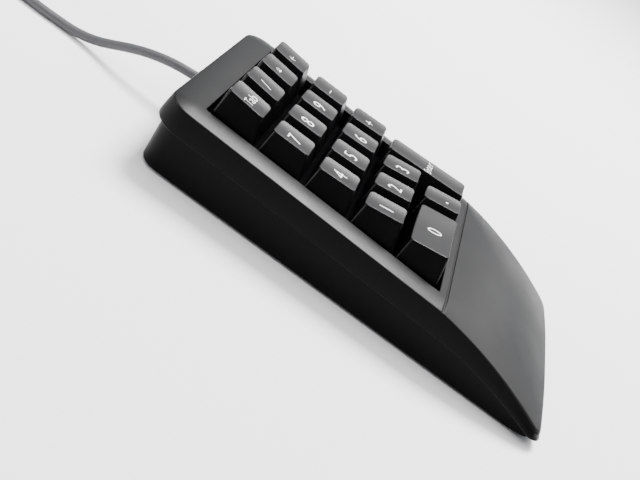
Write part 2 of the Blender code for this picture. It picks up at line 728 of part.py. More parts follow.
def make_stack(deck, sheet_matter, plate_matter):
    """Membranes and backing plate, under the frame's skirt; the lower sheet's tail runs to the board."""
    half = WELL_WIDTH / 2 + FRAME_MARGIN
    front, rear = WELL_FRONT - FRAME_MARGIN, WELL_REAR + FRAME_MARGIN
    tail = front - TAIL_LENGTH
    plain = ((-half, front), (half, front), (half, rear), (-half, rear))
    with_tail = ((-TAIL_WIDTH / 2, tail), (TAIL_WIDTH / 2, tail), (TAIL_WIDTH / 2, front), *plain[1:],
                 plain[0], (-TAIL_WIDTH / 2, front))
    for name, outline, top, thickness, matter in (
            ("membrane_upper_sheet", plain, UPPER_SHEET_TOP, MEMBRANE, sheet_matter),
            ("membrane_lower_sheet", with_tail, LOWER_SHEET_TOP, MEMBRANE, sheet_matter),
            ("backing_plate", plain, PLATE_TOP, PLATE, plate_matter)):
        work = bmesh.new()
        loft(work, [flat(outline, top - thickness), flat(outline, top)])
        place(name, finish_mesh(name, work, matter), deck)


# Board and lead

def board_y():
    return WELL_FRONT - FRAME_MARGIN - BOARD_SETBACK - BOARD_DEPTH / 2


def board_height():
    """Height of the board's underside: its top stays clear under the membrane's tail."""
    tail_end = WELL_FRONT - FRAME_MARGIN - TAIL_LENGTH
    return stack_height(tail_end, LOWER_SHEET_TOP - MEMBRANE) - 2 * CLEARANCE - BOARD


def make_board(matter):
    z, y = board_height(), board_y()
    work = bmesh.new()
    box(work, -BOARD_LENGTH / 2, BOARD_LENGTH / 2, y - BOARD_DEPTH / 2, y + BOARD_DEPTH / 2, z, z + BOARD)
    board = place("controller_board", finish_mesh("controller_board", work, matter))
    chip = bmesh.new()
    at = y - BOARD_DEPTH / 2 + 0.001
    box(chip, -BOARD_LENGTH / 2 + 0.002, -BOARD_LENGTH / 2 + 0.002 + CHIP_SIZE, at, at + CHIP_SIZE / 2,
        z + BOARD / 2, z + BOARD + CHIP_HEIGHT)
    shape_with(board, 'UNION', "board_chip", chip)


def make_lead(matter):
    """From the strain relief down behind the frame, along the floor, and up to the board's underside."""
    exit_z = relief_height()
    low = FLOOR_TOP + LEAD_RADIUS + CLEARANCE
    start = RELIEF_INSIDE - RELIEF_FLANGE - CLEARANCE
    behind = WELL_REAR + FRAME_MARGIN + SLOPE * -PLATE_TOP + LEAD_RADIUS + 2 * CLEARANCE
    end_y, end_z = board_y() - 0.002, board_height() - CLEARANCE
    bend = start - behind
    route = (
        (0, start, exit_z), (0, start - bend / 3, exit_z), (0, behind + bend / 8, exit_z - bend / 2),
        (0, behind, exit_z - 2 * bend), (0, behind, low + 0.005),
        (0.001, behind - 0.004, low + 0.0006), (0.003, behind - 0.012, low), (0.006, row_y(1), low),
        (0.006, row_y(3), low), (0.006, end_y + 0.009, low), (0.006, end_y + 0.0035, low + 0.0003),
        (0.006, end_y, end_z - 0.0016), (0.006, end_y, end_z),
    )
    tube("internal_lead", route, LEAD_RADIUS, 0.005, matter)


# Cord and plug

def make_strain_relief(matter):
    work = bmesh.new()
    inside = RELIEF_INSIDE - RELIEF_FLANGE
    turned(work, ((RELIEF_FLANGE_RADIUS, inside), (RELIEF_FLANGE_RADIUS, RELIEF_INSIDE),
                  (RELIEF_RADIUS, RELIEF_INSIDE), (RELIEF_RADIUS, HALF_LENGTH + RELIEF_PROUD / 2),
                  (CORD_RADIUS + RELIEF_SLEEVE, HALF_LENGTH + RELIEF_PROUD)), ROUND_STEPS)
    place("strain_relief", finish_mesh("strain_relief", work, matter),
          location=(0, 0, relief_height()), rotation=(math.radians(-90), 0, 0))


def make_cord(matter):
    """The cord droops from the rear wall to the desk, runs to its coil, and ends in the plug."""
    exit_y, exit_z = HALF_LENGTH + RELIEF_PROUD + CLEARANCE, relief_height()
    desk = CORD_RADIUS
    coil_x, coil_y = COIL_CENTRE
    plug_x, plug_y = PLUG_FACE
    route = (
        (0, exit_y, exit_z), (0, 0.0936, 0.0151), (0, 0.1030, 0.0126), (0, 0.1106, 0.0094),
        (0, 0.1163, 0.0065), (0, 0.1220, 0.0040), (0, 0.1290, 0.0023), (0, 0.1370, desk),
        (0, 0.1500, desk), (0, coil_y - 0.0155, desk),
    )
    tube("usb_cable", route, CORD_RADIUS, 0.008, matter)
    top_turn = COIL_HEIGHT - CORD_RADIUS
    leave = coil_y + COIL_OUTER_RADIUS - 0.0021
    end = (
        (coil_x + 0.0155, leave, top_turn), (0.0500, leave, 0.0083), (0.0570, leave, 0.0064),
        (0.0640, plug_y + 0.0001, 0.0043), (0.0700, plug_y, 0.0034), (0.0765, plug_y, GRIP_HEIGHT / 2 - 0.0004),
        (plug_x - CLEARANCE, plug_y, GRIP_HEIGHT / 2),
    )
    tube("cable_end", end, CORD_RADIUS, 0.008, matter)

    work = bmesh.new()
    chamfer = CORD_RADIUS / 2
    profile = (
        (COIL_INNER_RADIUS, chamfer), (COIL_INNER_RADIUS + chamfer, 0), (COIL_OUTER_RADIUS - chamfer, 0),
        (COIL_OUTER_RADIUS, chamfer), (COIL_OUTER_RADIUS, COIL_HEIGHT - chamfer),
        (COIL_OUTER_RADIUS - chamfer, COIL_HEIGHT), (COIL_INNER_RADIUS + chamfer, COIL_HEIGHT),
        (COIL_INNER_RADIUS, COIL_HEIGHT - chamfer),
    )
    turned(work, profile, RING_STEPS, closed=True)
    place("cable_coil", finish_mesh("cable_coil", work, matter), location=(*COIL_CENTRE, 0))


def make_plug(grip_matter, shell_matter):
    """The plug lies flat beside the coil, pointing along +X; z is the height across its middle here."""
    holder = place("plug", None, location=(*PLUG_FACE, GRIP_HEIGHT / 2))

    def section(width, height, corner, x):
        outline = rounded_rectangle(-width / 2, width / 2, -height / 2, height / 2, corner, corner, 1, 1, 2)
        return [(x, p.x, p.y) for p in outline]

    work = bmesh.new()
    narrow = 0.7
    loft(work, [section(GRIP_WIDTH * narrow, GRIP_HEIGHT * narrow, GRIP_CORNER, 0),
                section(GRIP_WIDTH, GRIP_HEIGHT, GRIP_CORNER, GRIP_LENGTH / 4),
                section(GRIP_WIDTH, GRIP_HEIGHT, GRIP_CORNER, GRIP_LENGTH)])
    place("plug_grip", finish_mesh("plug_grip", work, grip_matter), holder)

    start = GRIP_LENGTH + CLEARANCE
    end = start + SHELL_LENGTH
    inner_width, inner_height = SHELL_WIDTH - 2 * SHELL_WALL, SHELL_HEIGHT - 2 * SHELL_WALL
    work = bmesh.new()
    loft(work, [section(SHELL_WIDTH, SHELL_HEIGHT, SHELL_WALL, start),
                section(SHELL_WIDTH, SHELL_HEIGHT, SHELL_WALL, end),
                section(inner_width, inner_height, SHELL_WALL / 4, end),
                section(inner_width, inner_height, SHELL_WALL / 4, start + PLUG_BACK)])
    shell = place("plug_shell", finish_mesh("plug_shell", work, shell_matter), holder)
    tongue = bmesh.new()
    top = inner_height / 2 - CLEARANCE
    box(tongue, start + PLUG_BACK / 2, start + PLUG_BACK + TONGUE_LENGTH, -TONGUE_WIDTH / 2, TONGUE_WIDTH / 2,
        top - TONGUE_HEIGHT, top)
    shape_with(shell, 'UNION', "plug_tongue", tongue)


def main():
    for thing in list(bpy.data.objects):
        bpy.data.objects.remove(thing)
    housing = material("housing_plastic", (0.030, 0.030, 0.031), 0.48)
    lower = material("lower_shell_plastic", (0.010, 0.010, 0.011), 0.50)
    caps = material("keycap_plastic", (0.022, 0.022, 0.023), 0.50)
    frame = material("frame_plastic", (0.012, 0.012, 0.012), 0.55)
    rubber = material("dome_rubber", (0.55, 0.56, 0.56), 0.60)
    sheet = material("membrane_film", (0.55, 0.60, 0.58), 0.30)
    steel = material("plate_steel", (0.55, 0.55, 0.56), 0.35, 1.0)
    board = material("board_laminate", (0.02, 0.13, 0.05), 0.45)
    foot = material("foot_rubber", (0.012, 0.012, 0.012), 0.85)
    cord = material("cord_jacket", (0.10, 0.10, 0.105), 0.50)

    deck = place("key_deck", None, location=(0, 0, DECK_HEIGHT), rotation=(DECK_TILT, 0, 0))
    make_top_housing(housing)
    make_bottom_shell(lower)
    make_screws(steel)
    make_feet(foot)
    make_key_frame(deck, frame)
    make_keys(deck, caps, rubber)
    make_stabilisers(deck, steel)
    make_stack(deck, sheet, steel)
    make_board(board)
    make_lead(cord)
    make_strain_relief(cord)
    make_cord(cord)
    make_plug(cord, steel)


main()
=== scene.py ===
"""A numeric keypad's looks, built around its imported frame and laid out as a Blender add-on.

Everything is in metres: +X to the typist's right, +Y to the rear, +Z up. Keys, frame and domes are
worked out on the key deck, which leans a little towards the typist, and then turned into place.
"""
import json
import math

import bmesh
import bpy
import numpy as np
from bpy.props import FloatProperty, FloatVectorProperty, IntProperty, PointerProperty
from mathutils import Matrix, Vector


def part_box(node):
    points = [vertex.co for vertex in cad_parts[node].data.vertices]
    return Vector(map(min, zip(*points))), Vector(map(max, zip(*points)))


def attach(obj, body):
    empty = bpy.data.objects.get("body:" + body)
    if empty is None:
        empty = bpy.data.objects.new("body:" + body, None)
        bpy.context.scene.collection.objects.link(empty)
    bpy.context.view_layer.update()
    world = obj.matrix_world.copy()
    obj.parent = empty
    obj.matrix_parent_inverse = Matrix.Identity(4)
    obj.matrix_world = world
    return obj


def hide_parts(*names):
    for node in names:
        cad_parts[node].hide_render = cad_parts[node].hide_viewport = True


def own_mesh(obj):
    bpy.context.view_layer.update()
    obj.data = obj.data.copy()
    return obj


bl_info = {
    "name": "Numeric keypad",
    "version": (1, 0, 0),
    "blender": (4, 5, 0),
    "location": "View3D > Sidebar > Keypad",
    "description": "Builds a numeric keypad's housing, keys, legends, cord and plug",
    "category": "Add Mesh",
}

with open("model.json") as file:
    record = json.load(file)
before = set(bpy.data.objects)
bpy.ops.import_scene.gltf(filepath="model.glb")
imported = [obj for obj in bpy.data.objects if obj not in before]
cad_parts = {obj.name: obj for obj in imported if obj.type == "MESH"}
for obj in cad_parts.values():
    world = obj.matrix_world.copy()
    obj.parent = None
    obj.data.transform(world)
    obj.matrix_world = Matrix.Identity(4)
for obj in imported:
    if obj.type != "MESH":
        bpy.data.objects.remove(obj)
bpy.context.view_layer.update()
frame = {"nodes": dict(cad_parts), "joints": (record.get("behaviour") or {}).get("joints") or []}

# Read from the frame
HOUSING_LOW, HOUSING_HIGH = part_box("top_housing")
HALF_WIDTH = (HOUSING_HIGH.x - HOUSING_LOW.x) / 2
HALF_LENGTH = (HOUSING_HIGH.y - HOUSING_LOW.y) / 2
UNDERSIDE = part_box("bottom_shell")[0].z
KEY_AXIS = Vector(next(j for j in frame["joints"] if j["name"] == "press_5")["axis"])
TILT = math.atan2(-KEY_AXIS.y, KEY_AXIS.z)

# Key deck
DECK_HEIGHT = 0.02433
KEY_PITCH = 0.01905
KEY_SPACE_X, KEY_SPACE_Y = 0.00095, 0.00175
COLUMNS = 4
WELL_REAR = HALF_LENGTH - 0.01245
WELL_FRONT = WELL_REAR - 0.09595
WELL_HALF_WIDTH = HALF_WIDTH - 0.0098
WELL_DEPTH, WELL_CORNER = 0.0057, 0.0008
FIRST_ROW = WELL_REAR - 0.01015
DECK = Matrix.Translation((0, 0, DECK_HEIGHT)) @ Matrix.Rotation(TILT, 4, 'X')

# Body
CROWN, CROWN_MARGIN = 0.0012, 0.0088
PALM_CROWN, PALM_CROWN_MARGIN, PALM_BLEND = 0.0020, 0.0400, 0.0300
PALM_BREAK, PALM_RADIUS = 0.081, 0.145
BAND_HEIGHT, BAND_TAPER = 0.0083, 0.083
EDGE_INSET = 0.0010
FRONT_CORNER, REAR_CORNER = 0.0055, 0.0100
GROOVE_Y = WELL_FRONT - 0.0033
PALM_START = GROOVE_Y + 0.00045
LOWER_INSET, LOWER_DRAFT = 0.0022, 0.0006
SEAM_GAP = 0.0003
CORNERS = ("rear_left", "rear_right", "front_left", "front_right")
CUTTER_START = 0.001                           # how far in front of a face its cutter starts

# Rows from the rear: height of the faces above the deck, and their slope (positive: rear edge higher)
ROW_FACES = (
    (0.00795, math.radians(4.1)),
    (0.00678, math.radians(-1.4)),
    (0.00672, math.radians(-3.9)),
    (0.00750, math.radians(-10.0)),
    (0.00775, math.radians(-10.6)),
)
ENTER_FACE = (0.00719, math.radians(-4.5))
SKIRT_DEPTH, STEM_DEPTH, STEM_RADIUS = 0.0020, 0.0077, 0.0031
LEAN_SIDE, LEAN_FRONT, LEAN_REAR = 0.00315, 0.00305, 0.0002
FACE_SHIFT = 0.0012
KEY_WALL, KEY_ROOF = 0.0012, 0.0015
DOME_HEIGHT = 0.0042

# Name, first column, first row, columns taken, rows taken, legend, legend's height, shift to the rear
KEYS = (
    ("tab", 0, 0, 1, 1, "Tab", 0.0038, 0.0), ("divide", 1, 0, 1, 1, "/", 0.0052, 0.0),
    ("multiply", 2, 0, 1, 1, "*", 0.0046, 0.0004), ("backspace", 3, 0, 1, 1, "←", 0.0034, 0.0),
    ("7", 0, 1, 1, 1, "7", 0.0056, 0.0), ("8", 1, 1, 1, 1, "8", 0.0056, 0.0),
    ("9", 2, 1, 1, 1, "9", 0.0056, 0.0), ("minus", 3, 1, 1, 1, "–", 0.0046, 0.0),
    ("4", 0, 2, 1, 1, "4", 0.0056, 0.0), ("5", 1, 2, 1, 1, "5", 0.0056, 0.0),
    ("6", 2, 2, 1, 1, "6", 0.0056, 0.0), ("plus", 3, 2, 1, 1, "+", 0.0050, 0.0),
    ("1", 0, 3, 1, 1, "1", 0.0056, 0.0), ("2", 1, 3, 1, 1, "2", 0.0056, 0.0),
    ("3", 2, 3, 1, 1, "3", 0.0056, 0.0), ("enter", 3, 3, 1, 2, "Enter", 0.0034, 0.0),
    ("0", 0, 4, 2, 1, "0", 0.0056, 0.0), ("decimal", 2, 4, 1, 1, ".", 0.0070, -0.0016),
)


# Settings

class KeypadBodySettings(bpy.types.PropertyGroup):
    edge_radius: FloatProperty(
        name="Edge radius", description="Rounding between the top and the side band",
        default=0.0004, min=0.0001, subtype='DISTANCE', unit='LENGTH', precision=5)
    rim_radius: FloatProperty(
        name="Rim radius", description="Rounding along the side band's lower rim",
        default=0.0004, min=0.0001, subtype='DISTANCE', unit='LENGTH', precision=5)
    well_radius: FloatProperty(
        name="Well edge radius", description="Rounding around the key well",
        default=0.0003, min=0.0001, subtype='DISTANCE', unit='LENGTH', precision=5)
    wall: FloatProperty(
        name="Wall", description="Thickness of the housing's skin",
        default=0.0016, min=0.0005, subtype='DISTANCE', unit='LENGTH', precision=5)
    groove_depth: FloatProperty(
        name="Groove depth", description="Depth of the groove in front of the keys",
        default=0.0004, min=0.0, subtype='DISTANCE', unit='LENGTH', precision=5)
    groove_width: FloatProperty(
        name="Groove width", description="Width of the groove in front of the keys",
        default=0.0009, min=0.0002, subtype='DISTANCE', unit='LENGTH', precision=5)
    housing_colour: FloatVectorProperty(
        name="Housing", description="Colour of the upper housing", subtype='COLOR', size=3,
        default=(0.006, 0.006, 0.006), min=0, max=1)
    # Colour of the lower shell; the same colour is painted on the upper housing's side band and well walls as
    # shade.
    lower_and_side_shade_colour: FloatVectorProperty(
        name="Lower shell", description="Colour of the lower shell", subtype='COLOR', size=3,
        default=(0.0019, 0.0019, 0.0019), min=0, max=1)


class KeypadKeySettings(bpy.types.PropertyGroup):
    dish: FloatProperty(
        name="Dish", description="Depth of the hollow in each key face",
        default=0.0007, min=0.0, subtype='DISTANCE', unit='LENGTH', precision=5)
    face_corner: FloatProperty(
        name="Face corner", description="Corner radius of each key face",
        default=0.0015, min=0.0003, subtype='DISTANCE', unit='LENGTH', precision=5)
    edge_radius: FloatProperty(
        name="Edge radius", description="Rounding between a key's face and its sides",
        default=0.0003, min=0.0001, subtype='DISTANCE', unit='LENGTH', precision=5)
    cap_colour: FloatVectorProperty(
        name="Keycaps", description="Colour of the keycaps", subtype='COLOR', size=3,
        default=(0.004, 0.004, 0.004), min=0, max=1)
    # A darker copy of the keycap colour, painted on the keys' sides as shade.
    painted_side_shade_colour: FloatVectorProperty(
        name="Keycap sides", description="Colour of the keycaps' sides", subtype='COLOR', size=3,
        default=(0.0012, 0.0012, 0.0013), min=0, max=1)
    legend_colour: FloatVectorProperty(
        name="Legends", description="Colour of the printed legends", subtype='COLOR', size=3,
        default=(0.92, 0.93, 0.94), min=0, max=1)
    legend_stroke: FloatProperty(
        name="Legend stroke", description="Change of the letters' stroke, on each side",
        default=-0.00005, subtype='DISTANCE', unit='LENGTH', precision=5)


class KeypadCordSettings(bpy.types.PropertyGroup):
    diameter: FloatProperty(
        name="Diameter", description="Cord's diameter",
        default=0.0036, min=0.001, subtype='DISTANCE', unit='LENGTH', precision=5)
    length: FloatProperty(
        name="Length", description="Cord's length from the housing to the plug",
        default=1.46, min=0.1, subtype='DISTANCE', unit='LENGTH')
    jacket_colour: FloatVectorProperty(
        name="Jacket", description="Colour of the cord's jacket", subtype='COLOR', size=3,
        default=(0.060, 0.060, 0.063), min=0, max=1)


class KeypadStageSettings(bpy.types.PropertyGroup):
    floor_size: FloatProperty(
        name="Floor", description="Side of the square floor",
        default=6.0, min=0.5, subtype='DISTANCE', unit='LENGTH')
    lens: FloatProperty(
        name="Lens", description="Camera's focal length", default=55.0, min=10, unit='CAMERA')
    roll: FloatProperty(
        name="Roll", description="Camera's turn about its own axis",
        default=math.radians(38.4), subtype='ANGLE')


# Numpy building blocks

def grid_faces(rows, columns, wrap_columns=False, start=0):
    """Quads of a grid whose points are numbered row by row; wrapping joins the last column to the first."""
    across = columns if wrap_columns else columns - 1
    i, j = np.meshgrid(np.arange(rows - 1), np.arange(across), indexing="ij")
    k = (j + 1) % columns
    quads = np.stack([i * columns + j, i * columns + k, (i + 1) * columns + k, (i + 1) * columns + j], -1)
    return quads.reshape(-1, 4) + start


def bridge(loop, new):
    """Quads between two closed loops of point numbers."""
    return np.stack([loop, np.roll(loop, -1), np.roll(new, -1), new], -1)


def mesh_object(name, points, faces, matter, matrix=None, smooth_angle=40):
    """A mesh from an array of points and lists of faces, with its place in its mesh and its faces outward."""
    mesh = bpy.data.meshes.new(name)
    mesh.from_pydata(np.asarray(points).tolist(), [], [list(f) for f in faces])
    if matrix is not None:
        mesh.transform(matrix)
    work = bmesh.new()
    work.from_mesh(mesh)
    bmesh.ops.remove_doubles(work, verts=work.verts, dist=1e-7)
    bmesh.ops.recalc_face_normals(work, faces=work.faces)
    work.to_mesh(mesh)
    work.free()
    mesh.materials.append(matter)
    mesh.shade_smooth()
    mesh.set_sharp_from_angle(angle=math.radians(smooth_angle))
    made = bpy.data.objects.new(name, mesh)
    bpy.context.scene.collection.objects.link(made)
    return made


def ringed(name, rings, matter, matrix=None, closed=False, smooth_angle=40):
    """A solid skinned over rings of equal counts, an array of (ring, point, xyz).

    Closed joins the last ring to the first; otherwise each end is filled from its middle."""
    rings = np.asarray(rings, float)
    count, around = rings.shape[:2]
    points = rings.reshape(-1, 3)
    faces = list(grid_faces(count, around, True))
    first = np.arange(around)
    last = (count - 1) * around + first
    if closed:
        faces += bridge(last, first).tolist()
    else:
        for end, centre in ((first, count * around), (last, count * around + 1)):
            faces += np.stack([end, np.roll(end, -1), np.full(around, centre)], -1).tolist()
        points = np.vstack([points, rings[0].mean(0), rings[-1].mean(0)])
    return mesh_object(name, points, faces, matter, matrix, smooth_angle)


def turned(name, profile, steps, matter, matrix=None, closed=False, smooth_angle=40):
    """A solid turned about Z: each (radius, z) of the profile becomes a circle."""
    angle = np.linspace(0, 2 * np.pi, steps, endpoint=False)
    radius, z = np.array(profile, float).T[:, :, None]
    rings = np.stack(np.broadcast_arrays(radius * np.cos(angle), radius * np.sin(angle), z), -1)
    return ringed(name, rings, matter, matrix, closed, smooth_angle)


def rounded_outline(half_x, front, rear, front_radius, rear_radius, corner_steps, side_steps, end_steps):
    """Anticlockwise outline of a rectangle with arcs for corners: (points, outward normals)."""
    corners = ((half_x - front_radius, front + front_radius, front_radius, -90),
               (half_x - rear_radius, rear - rear_radius, rear_radius, 0),
               (-half_x + rear_radius, rear - rear_radius, rear_radius, 90),
               (-half_x + front_radius, front + front_radius, front_radius, 180))
    arcs, normals = [], []
    for x, y, radius, start in corners:
        a = np.radians(start + np.linspace(0, 90, corner_steps + 1))
        normal = np.stack([np.cos(a), np.sin(a)], -1)
        arcs.append(np.array([x, y]) + radius * normal)
        normals.append(normal)
    points, outward = [], []
    for i, steps in enumerate((side_steps, end_steps) * 2):
        here, following = arcs[i], arcs[(i + 1) % 4]
        t = np.linspace(0, 1, steps + 1)[1:-1, None]
        points += [here, here[-1] * (1 - t) + following[0] * t]
        outward += [normals[i], np.repeat(normals[i][-1:], steps - 1, 0)]
    return np.vstack(points), np.vstack(outward)


def evaluated_copy(made):
    """Applies a piece's modifiers."""
    graph = bpy.context.evaluated_depsgraph_get()
    mesh = bpy.data.meshes.new_from_object(made.evaluated_get(graph))
    made.modifiers.clear()
    made.data = mesh
    return made


def cut(made, tools):
    """Cuts tools out of a piece, and removes them."""
    for tool in tools:
        modifier = made.modifiers.new("cut", 'BOOLEAN')
        modifier.operation, modifier.solver, modifier.object = 'DIFFERENCE', 'EXACT', tool
    evaluated_copy(made)
    for tool in tools:
        bpy.data.objects.remove(tool)
    return made


def middle_of(low, high):
    """The move from the origin to the middle of a box, seen from above."""
    return Matrix.Translation(((low.x + high.x) / 2, (low.y + high.y) / 2, 0))


# Shape of the body

def past_groove(y):
    """Distance in front of the groove, and nothing behind it."""
    return np.maximum(0.0, PALM_START - y)


def deck_height(y):
    """Height of the key deck: a plane that rises to the rear."""
    return DECK_HEIGHT + math.tan(TILT) * y


def edge_height(y):
    """Height of the housing's top edge: straight along the deck, then an arc down the palm."""
    run = past_groove(y)
    return deck_height(y) - CROWN - PALM_BREAK * run - run ** 2 / (2 * PALM_RADIUS)


def seam_height(y):
    """Height of the seam: the top edge less the side band, which narrows towards the nose."""
    return edge_height(y) - BAND_HEIGHT + BAND_TAPER * past_groove(y)


def top_height(x, y):
    """Height of the housing's upper face: it rises from its side and rear edges towards the well."""
    blend = np.minimum(1.0, past_groove(y) / PALM_BLEND)
    margin = CROWN_MARGIN + blend * (PALM_CROWN_MARGIN - CROWN_MARGIN)
    rise = CROWN + blend * (PALM_CROWN - CROWN)
    past_side = np.maximum(0, 1 - (HALF_WIDTH - EDGE_INSET - np.abs(x)) / margin)
    past_rear = np.maximum(0, 1 - (HALF_LENGTH - EDGE_INSET - y) / CROWN_MARGIN)
    return edge_height(y) + rise * (1 - np.minimum(1, past_side ** 2 + past_rear ** 2))


# Materials

def shader_material(name, colour, roughness, metallic=0.0, specular=0.5):
    """A Principled material and its object-space coordinates."""
    made = bpy.data.materials.new(name)
    made.use_nodes = True
    tree = made.node_tree
    shader = tree.nodes["Principled BSDF"]
    shader.inputs["Base Color"].default_value = (*colour, 1.0)
    shader.inputs["Roughness"].default_value = roughness
    shader.inputs["Metallic"].default_value = metallic
    shader.inputs["Specular IOR Level"].default_value = specular
    where = tree.nodes.new("ShaderNodeTexCoord").outputs["Object"]
    return made, tree, shader, where


def noise(tree, where, scale, detail=3.0):
    """Noise of so many waves to the metre."""
    texture = tree.nodes.new("ShaderNodeTexNoise")
    texture.inputs["Scale"].default_value = scale
    texture.inputs["Detail"].default_value = detail
    tree.links.new(where, texture.inputs["Vector"])
    return texture.outputs["Fac"]


def between(tree, value, low, high, from_low=0.3, from_high=0.7):
    """Maps a noise value to a range."""
    node = tree.nodes.new("ShaderNodeMapRange")
    for socket, number in zip(("From Min", "From Max", "To Min", "To Max"), (from_low, from_high, low, high)):
        node.inputs[socket].default_value = number
    tree.links.new(value, node.inputs["Value"])
    return node.outputs["Result"]


def two_colours(tree, value, first, second):
    """Blends two colours by a value."""
    node = tree.nodes.new("ShaderNodeMix")
    node.data_type = 'RGBA'
    node.inputs["A"].default_value = (*first, 1.0)
    node.inputs["B"].default_value = (*second, 1.0)
    tree.links.new(value, node.inputs["Factor"])
    return node.outputs["Result"]


def bump(tree, shader, value, distance):
    """Relief of the given depth, in metres."""
    node = tree.nodes.new("ShaderNodeBump")
    node.inputs["Distance"].default_value = distance
    tree.links.new(value, node.inputs["Height"])
    tree.links.new(node.outputs["Normal"], shader.inputs["Normal"])


def scaled(colour, factor):
    """A colour made darker or lighter, up to white."""
    return tuple(min(1.0, c * factor) for c in colour)


def mottled(tree, shader, value, colour, darker, lighter):
    """Lets a noise value move the base colour between two shades of a colour."""
    shades = scaled(colour, darker), scaled(colour, lighter)
    tree.links.new(two_colours(tree, between(tree, value, 0, 1), *shades), shader.inputs["Base Color"])


def textured_plastic(name, colour, roughness, grain=0.00028, depth=0.00002, specular=0.5, mottle=0.12):
    """Moulded plastic: spark-eroded grain as bump, faint mottling of colour and gloss."""
    made, tree, shader, where = shader_material(name, colour, roughness, specular=specular)
    fine = noise(tree, where, 1 / grain, 2.0)
    broad = noise(tree, where, 60, 4.0)
    mottled(tree, shader, broad, colour, 1 - mottle, 1 + mottle)
    tree.links.new(between(tree, broad, roughness - 0.03, roughness + 0.04), shader.inputs["Roughness"])
    bump(tree, shader, fine, depth)
    return made


def matte_plastic_and_side_shade(name, colour):
    """The duller finish of the lower shell; the same darker, duller copy is painted shade on the upper
    housing's side walls.
    """
    return textured_plastic(name, colour, 0.42, grain=0.0003, depth=0.00001, specular=0.05)


def paint_shade_on_sides(made, matter, limit):
    """Paints shade on a piece's faces that lean less than limit (the size of their normal's z) by giving them
    a second, darker material.
    """
    polygons = made.data.polygons
    normals = np.empty(len(polygons) * 3)
    polygons.foreach_get("normal", normals)
    made.data.materials.append(matter)
    polygons.foreach_set("material_index", (np.abs(normals.reshape(-1, 3)[:, 2]) < limit).astype(np.int32))


def metal(name, colour, roughness, brush=0.0004):
    """Plated steel with faint drawing marks."""
    made, tree, shader, where = shader_material(name, colour, roughness, metallic=1.0)
    mapping = tree.nodes.new("ShaderNodeMapping")
    mapping.inputs["Scale"].default_value = (0.08, 1.0, 1.0)
    tree.links.new(where, mapping.inputs["Vector"])
    lines = noise(tree, mapping.outputs["Vector"], 1 / brush, 3.0)
    tree.links.new(between(tree, lines, roughness - 0.06, roughness + 0.08), shader.inputs["Roughness"])
    bump(tree, shader, lines, 0.000004)
    return made


def rubber(name, colour, roughness, grain=0.0005):
    """Soft, dull rubber with a fine grain."""
    made, tree, shader, where = shader_material(name, colour, roughness, specular=0.3)
    fine = noise(tree, where, 1 / grain, 3.0)
    mottled(tree, shader, fine, colour, 0.85, 1.2)
    bump(tree, shader, fine, 0.00003)
    return made


def film(name, colour):
    """Polyester film with printed silver tracks."""
    made, tree, shader, where = shader_material(name, colour, 0.25, specular=0.5)
    tracks = tree.nodes.new("ShaderNodeTexBrick")
    tracks.inputs["Scale"].default_value = 90
    tracks.inputs["Mortar Size"].default_value = 0.02
    tracks.inputs["Color1"].default_value = (*colour, 1)
    tracks.inputs["Color2"].default_value = (*scaled(colour, 0.93), 1)
    tracks.inputs["Mortar"].default_value = (0.35, 0.36, 0.37, 1)
    tree.links.new(where, tracks.inputs["Vector"])
    tree.links.new(tracks.outputs["Color"], shader.inputs["Base Color"])
    return made


# Stage

CAMERA_PLACE = Vector((-0.3261, 0.0402, 0.1588))
CAMERA_AIM = Vector((-0.05315, 0.01732, 0.01971))
FLOOR_COLOUR, FLOOR_DARKER, FLOOR_LIGHTER = (0.86,) * 3, (0.855,) * 3, (0.865,) * 3
STUDIO_COLOUR, STUDIO_STRENGTH = (0.9, 0.95, 1.0, 1), 0.4

# Name, place, aim, side, watts
SOFTBOXES = (
    ("overhead_softbox", (-0.3, 0.1, 1.6), (0, 0, 0), 2.2, 42),
    ("high_softbox", (0.60, -0.03, 1.10), (0, 0, 0.02), 0.5, 52),
    ("far_softbox", (1.3, -0.1, 0.5), (0, 0, 0.02), 1.2, 3),
    ("front_softbox", (0.90, -0.75, 0.72), (0, -0.05, 0.02), 0.7, 5),
    ("rear_softbox", (-0.3, 1.3, 0.15), (0, 0.05, 0.02), 0.5, 16),
)


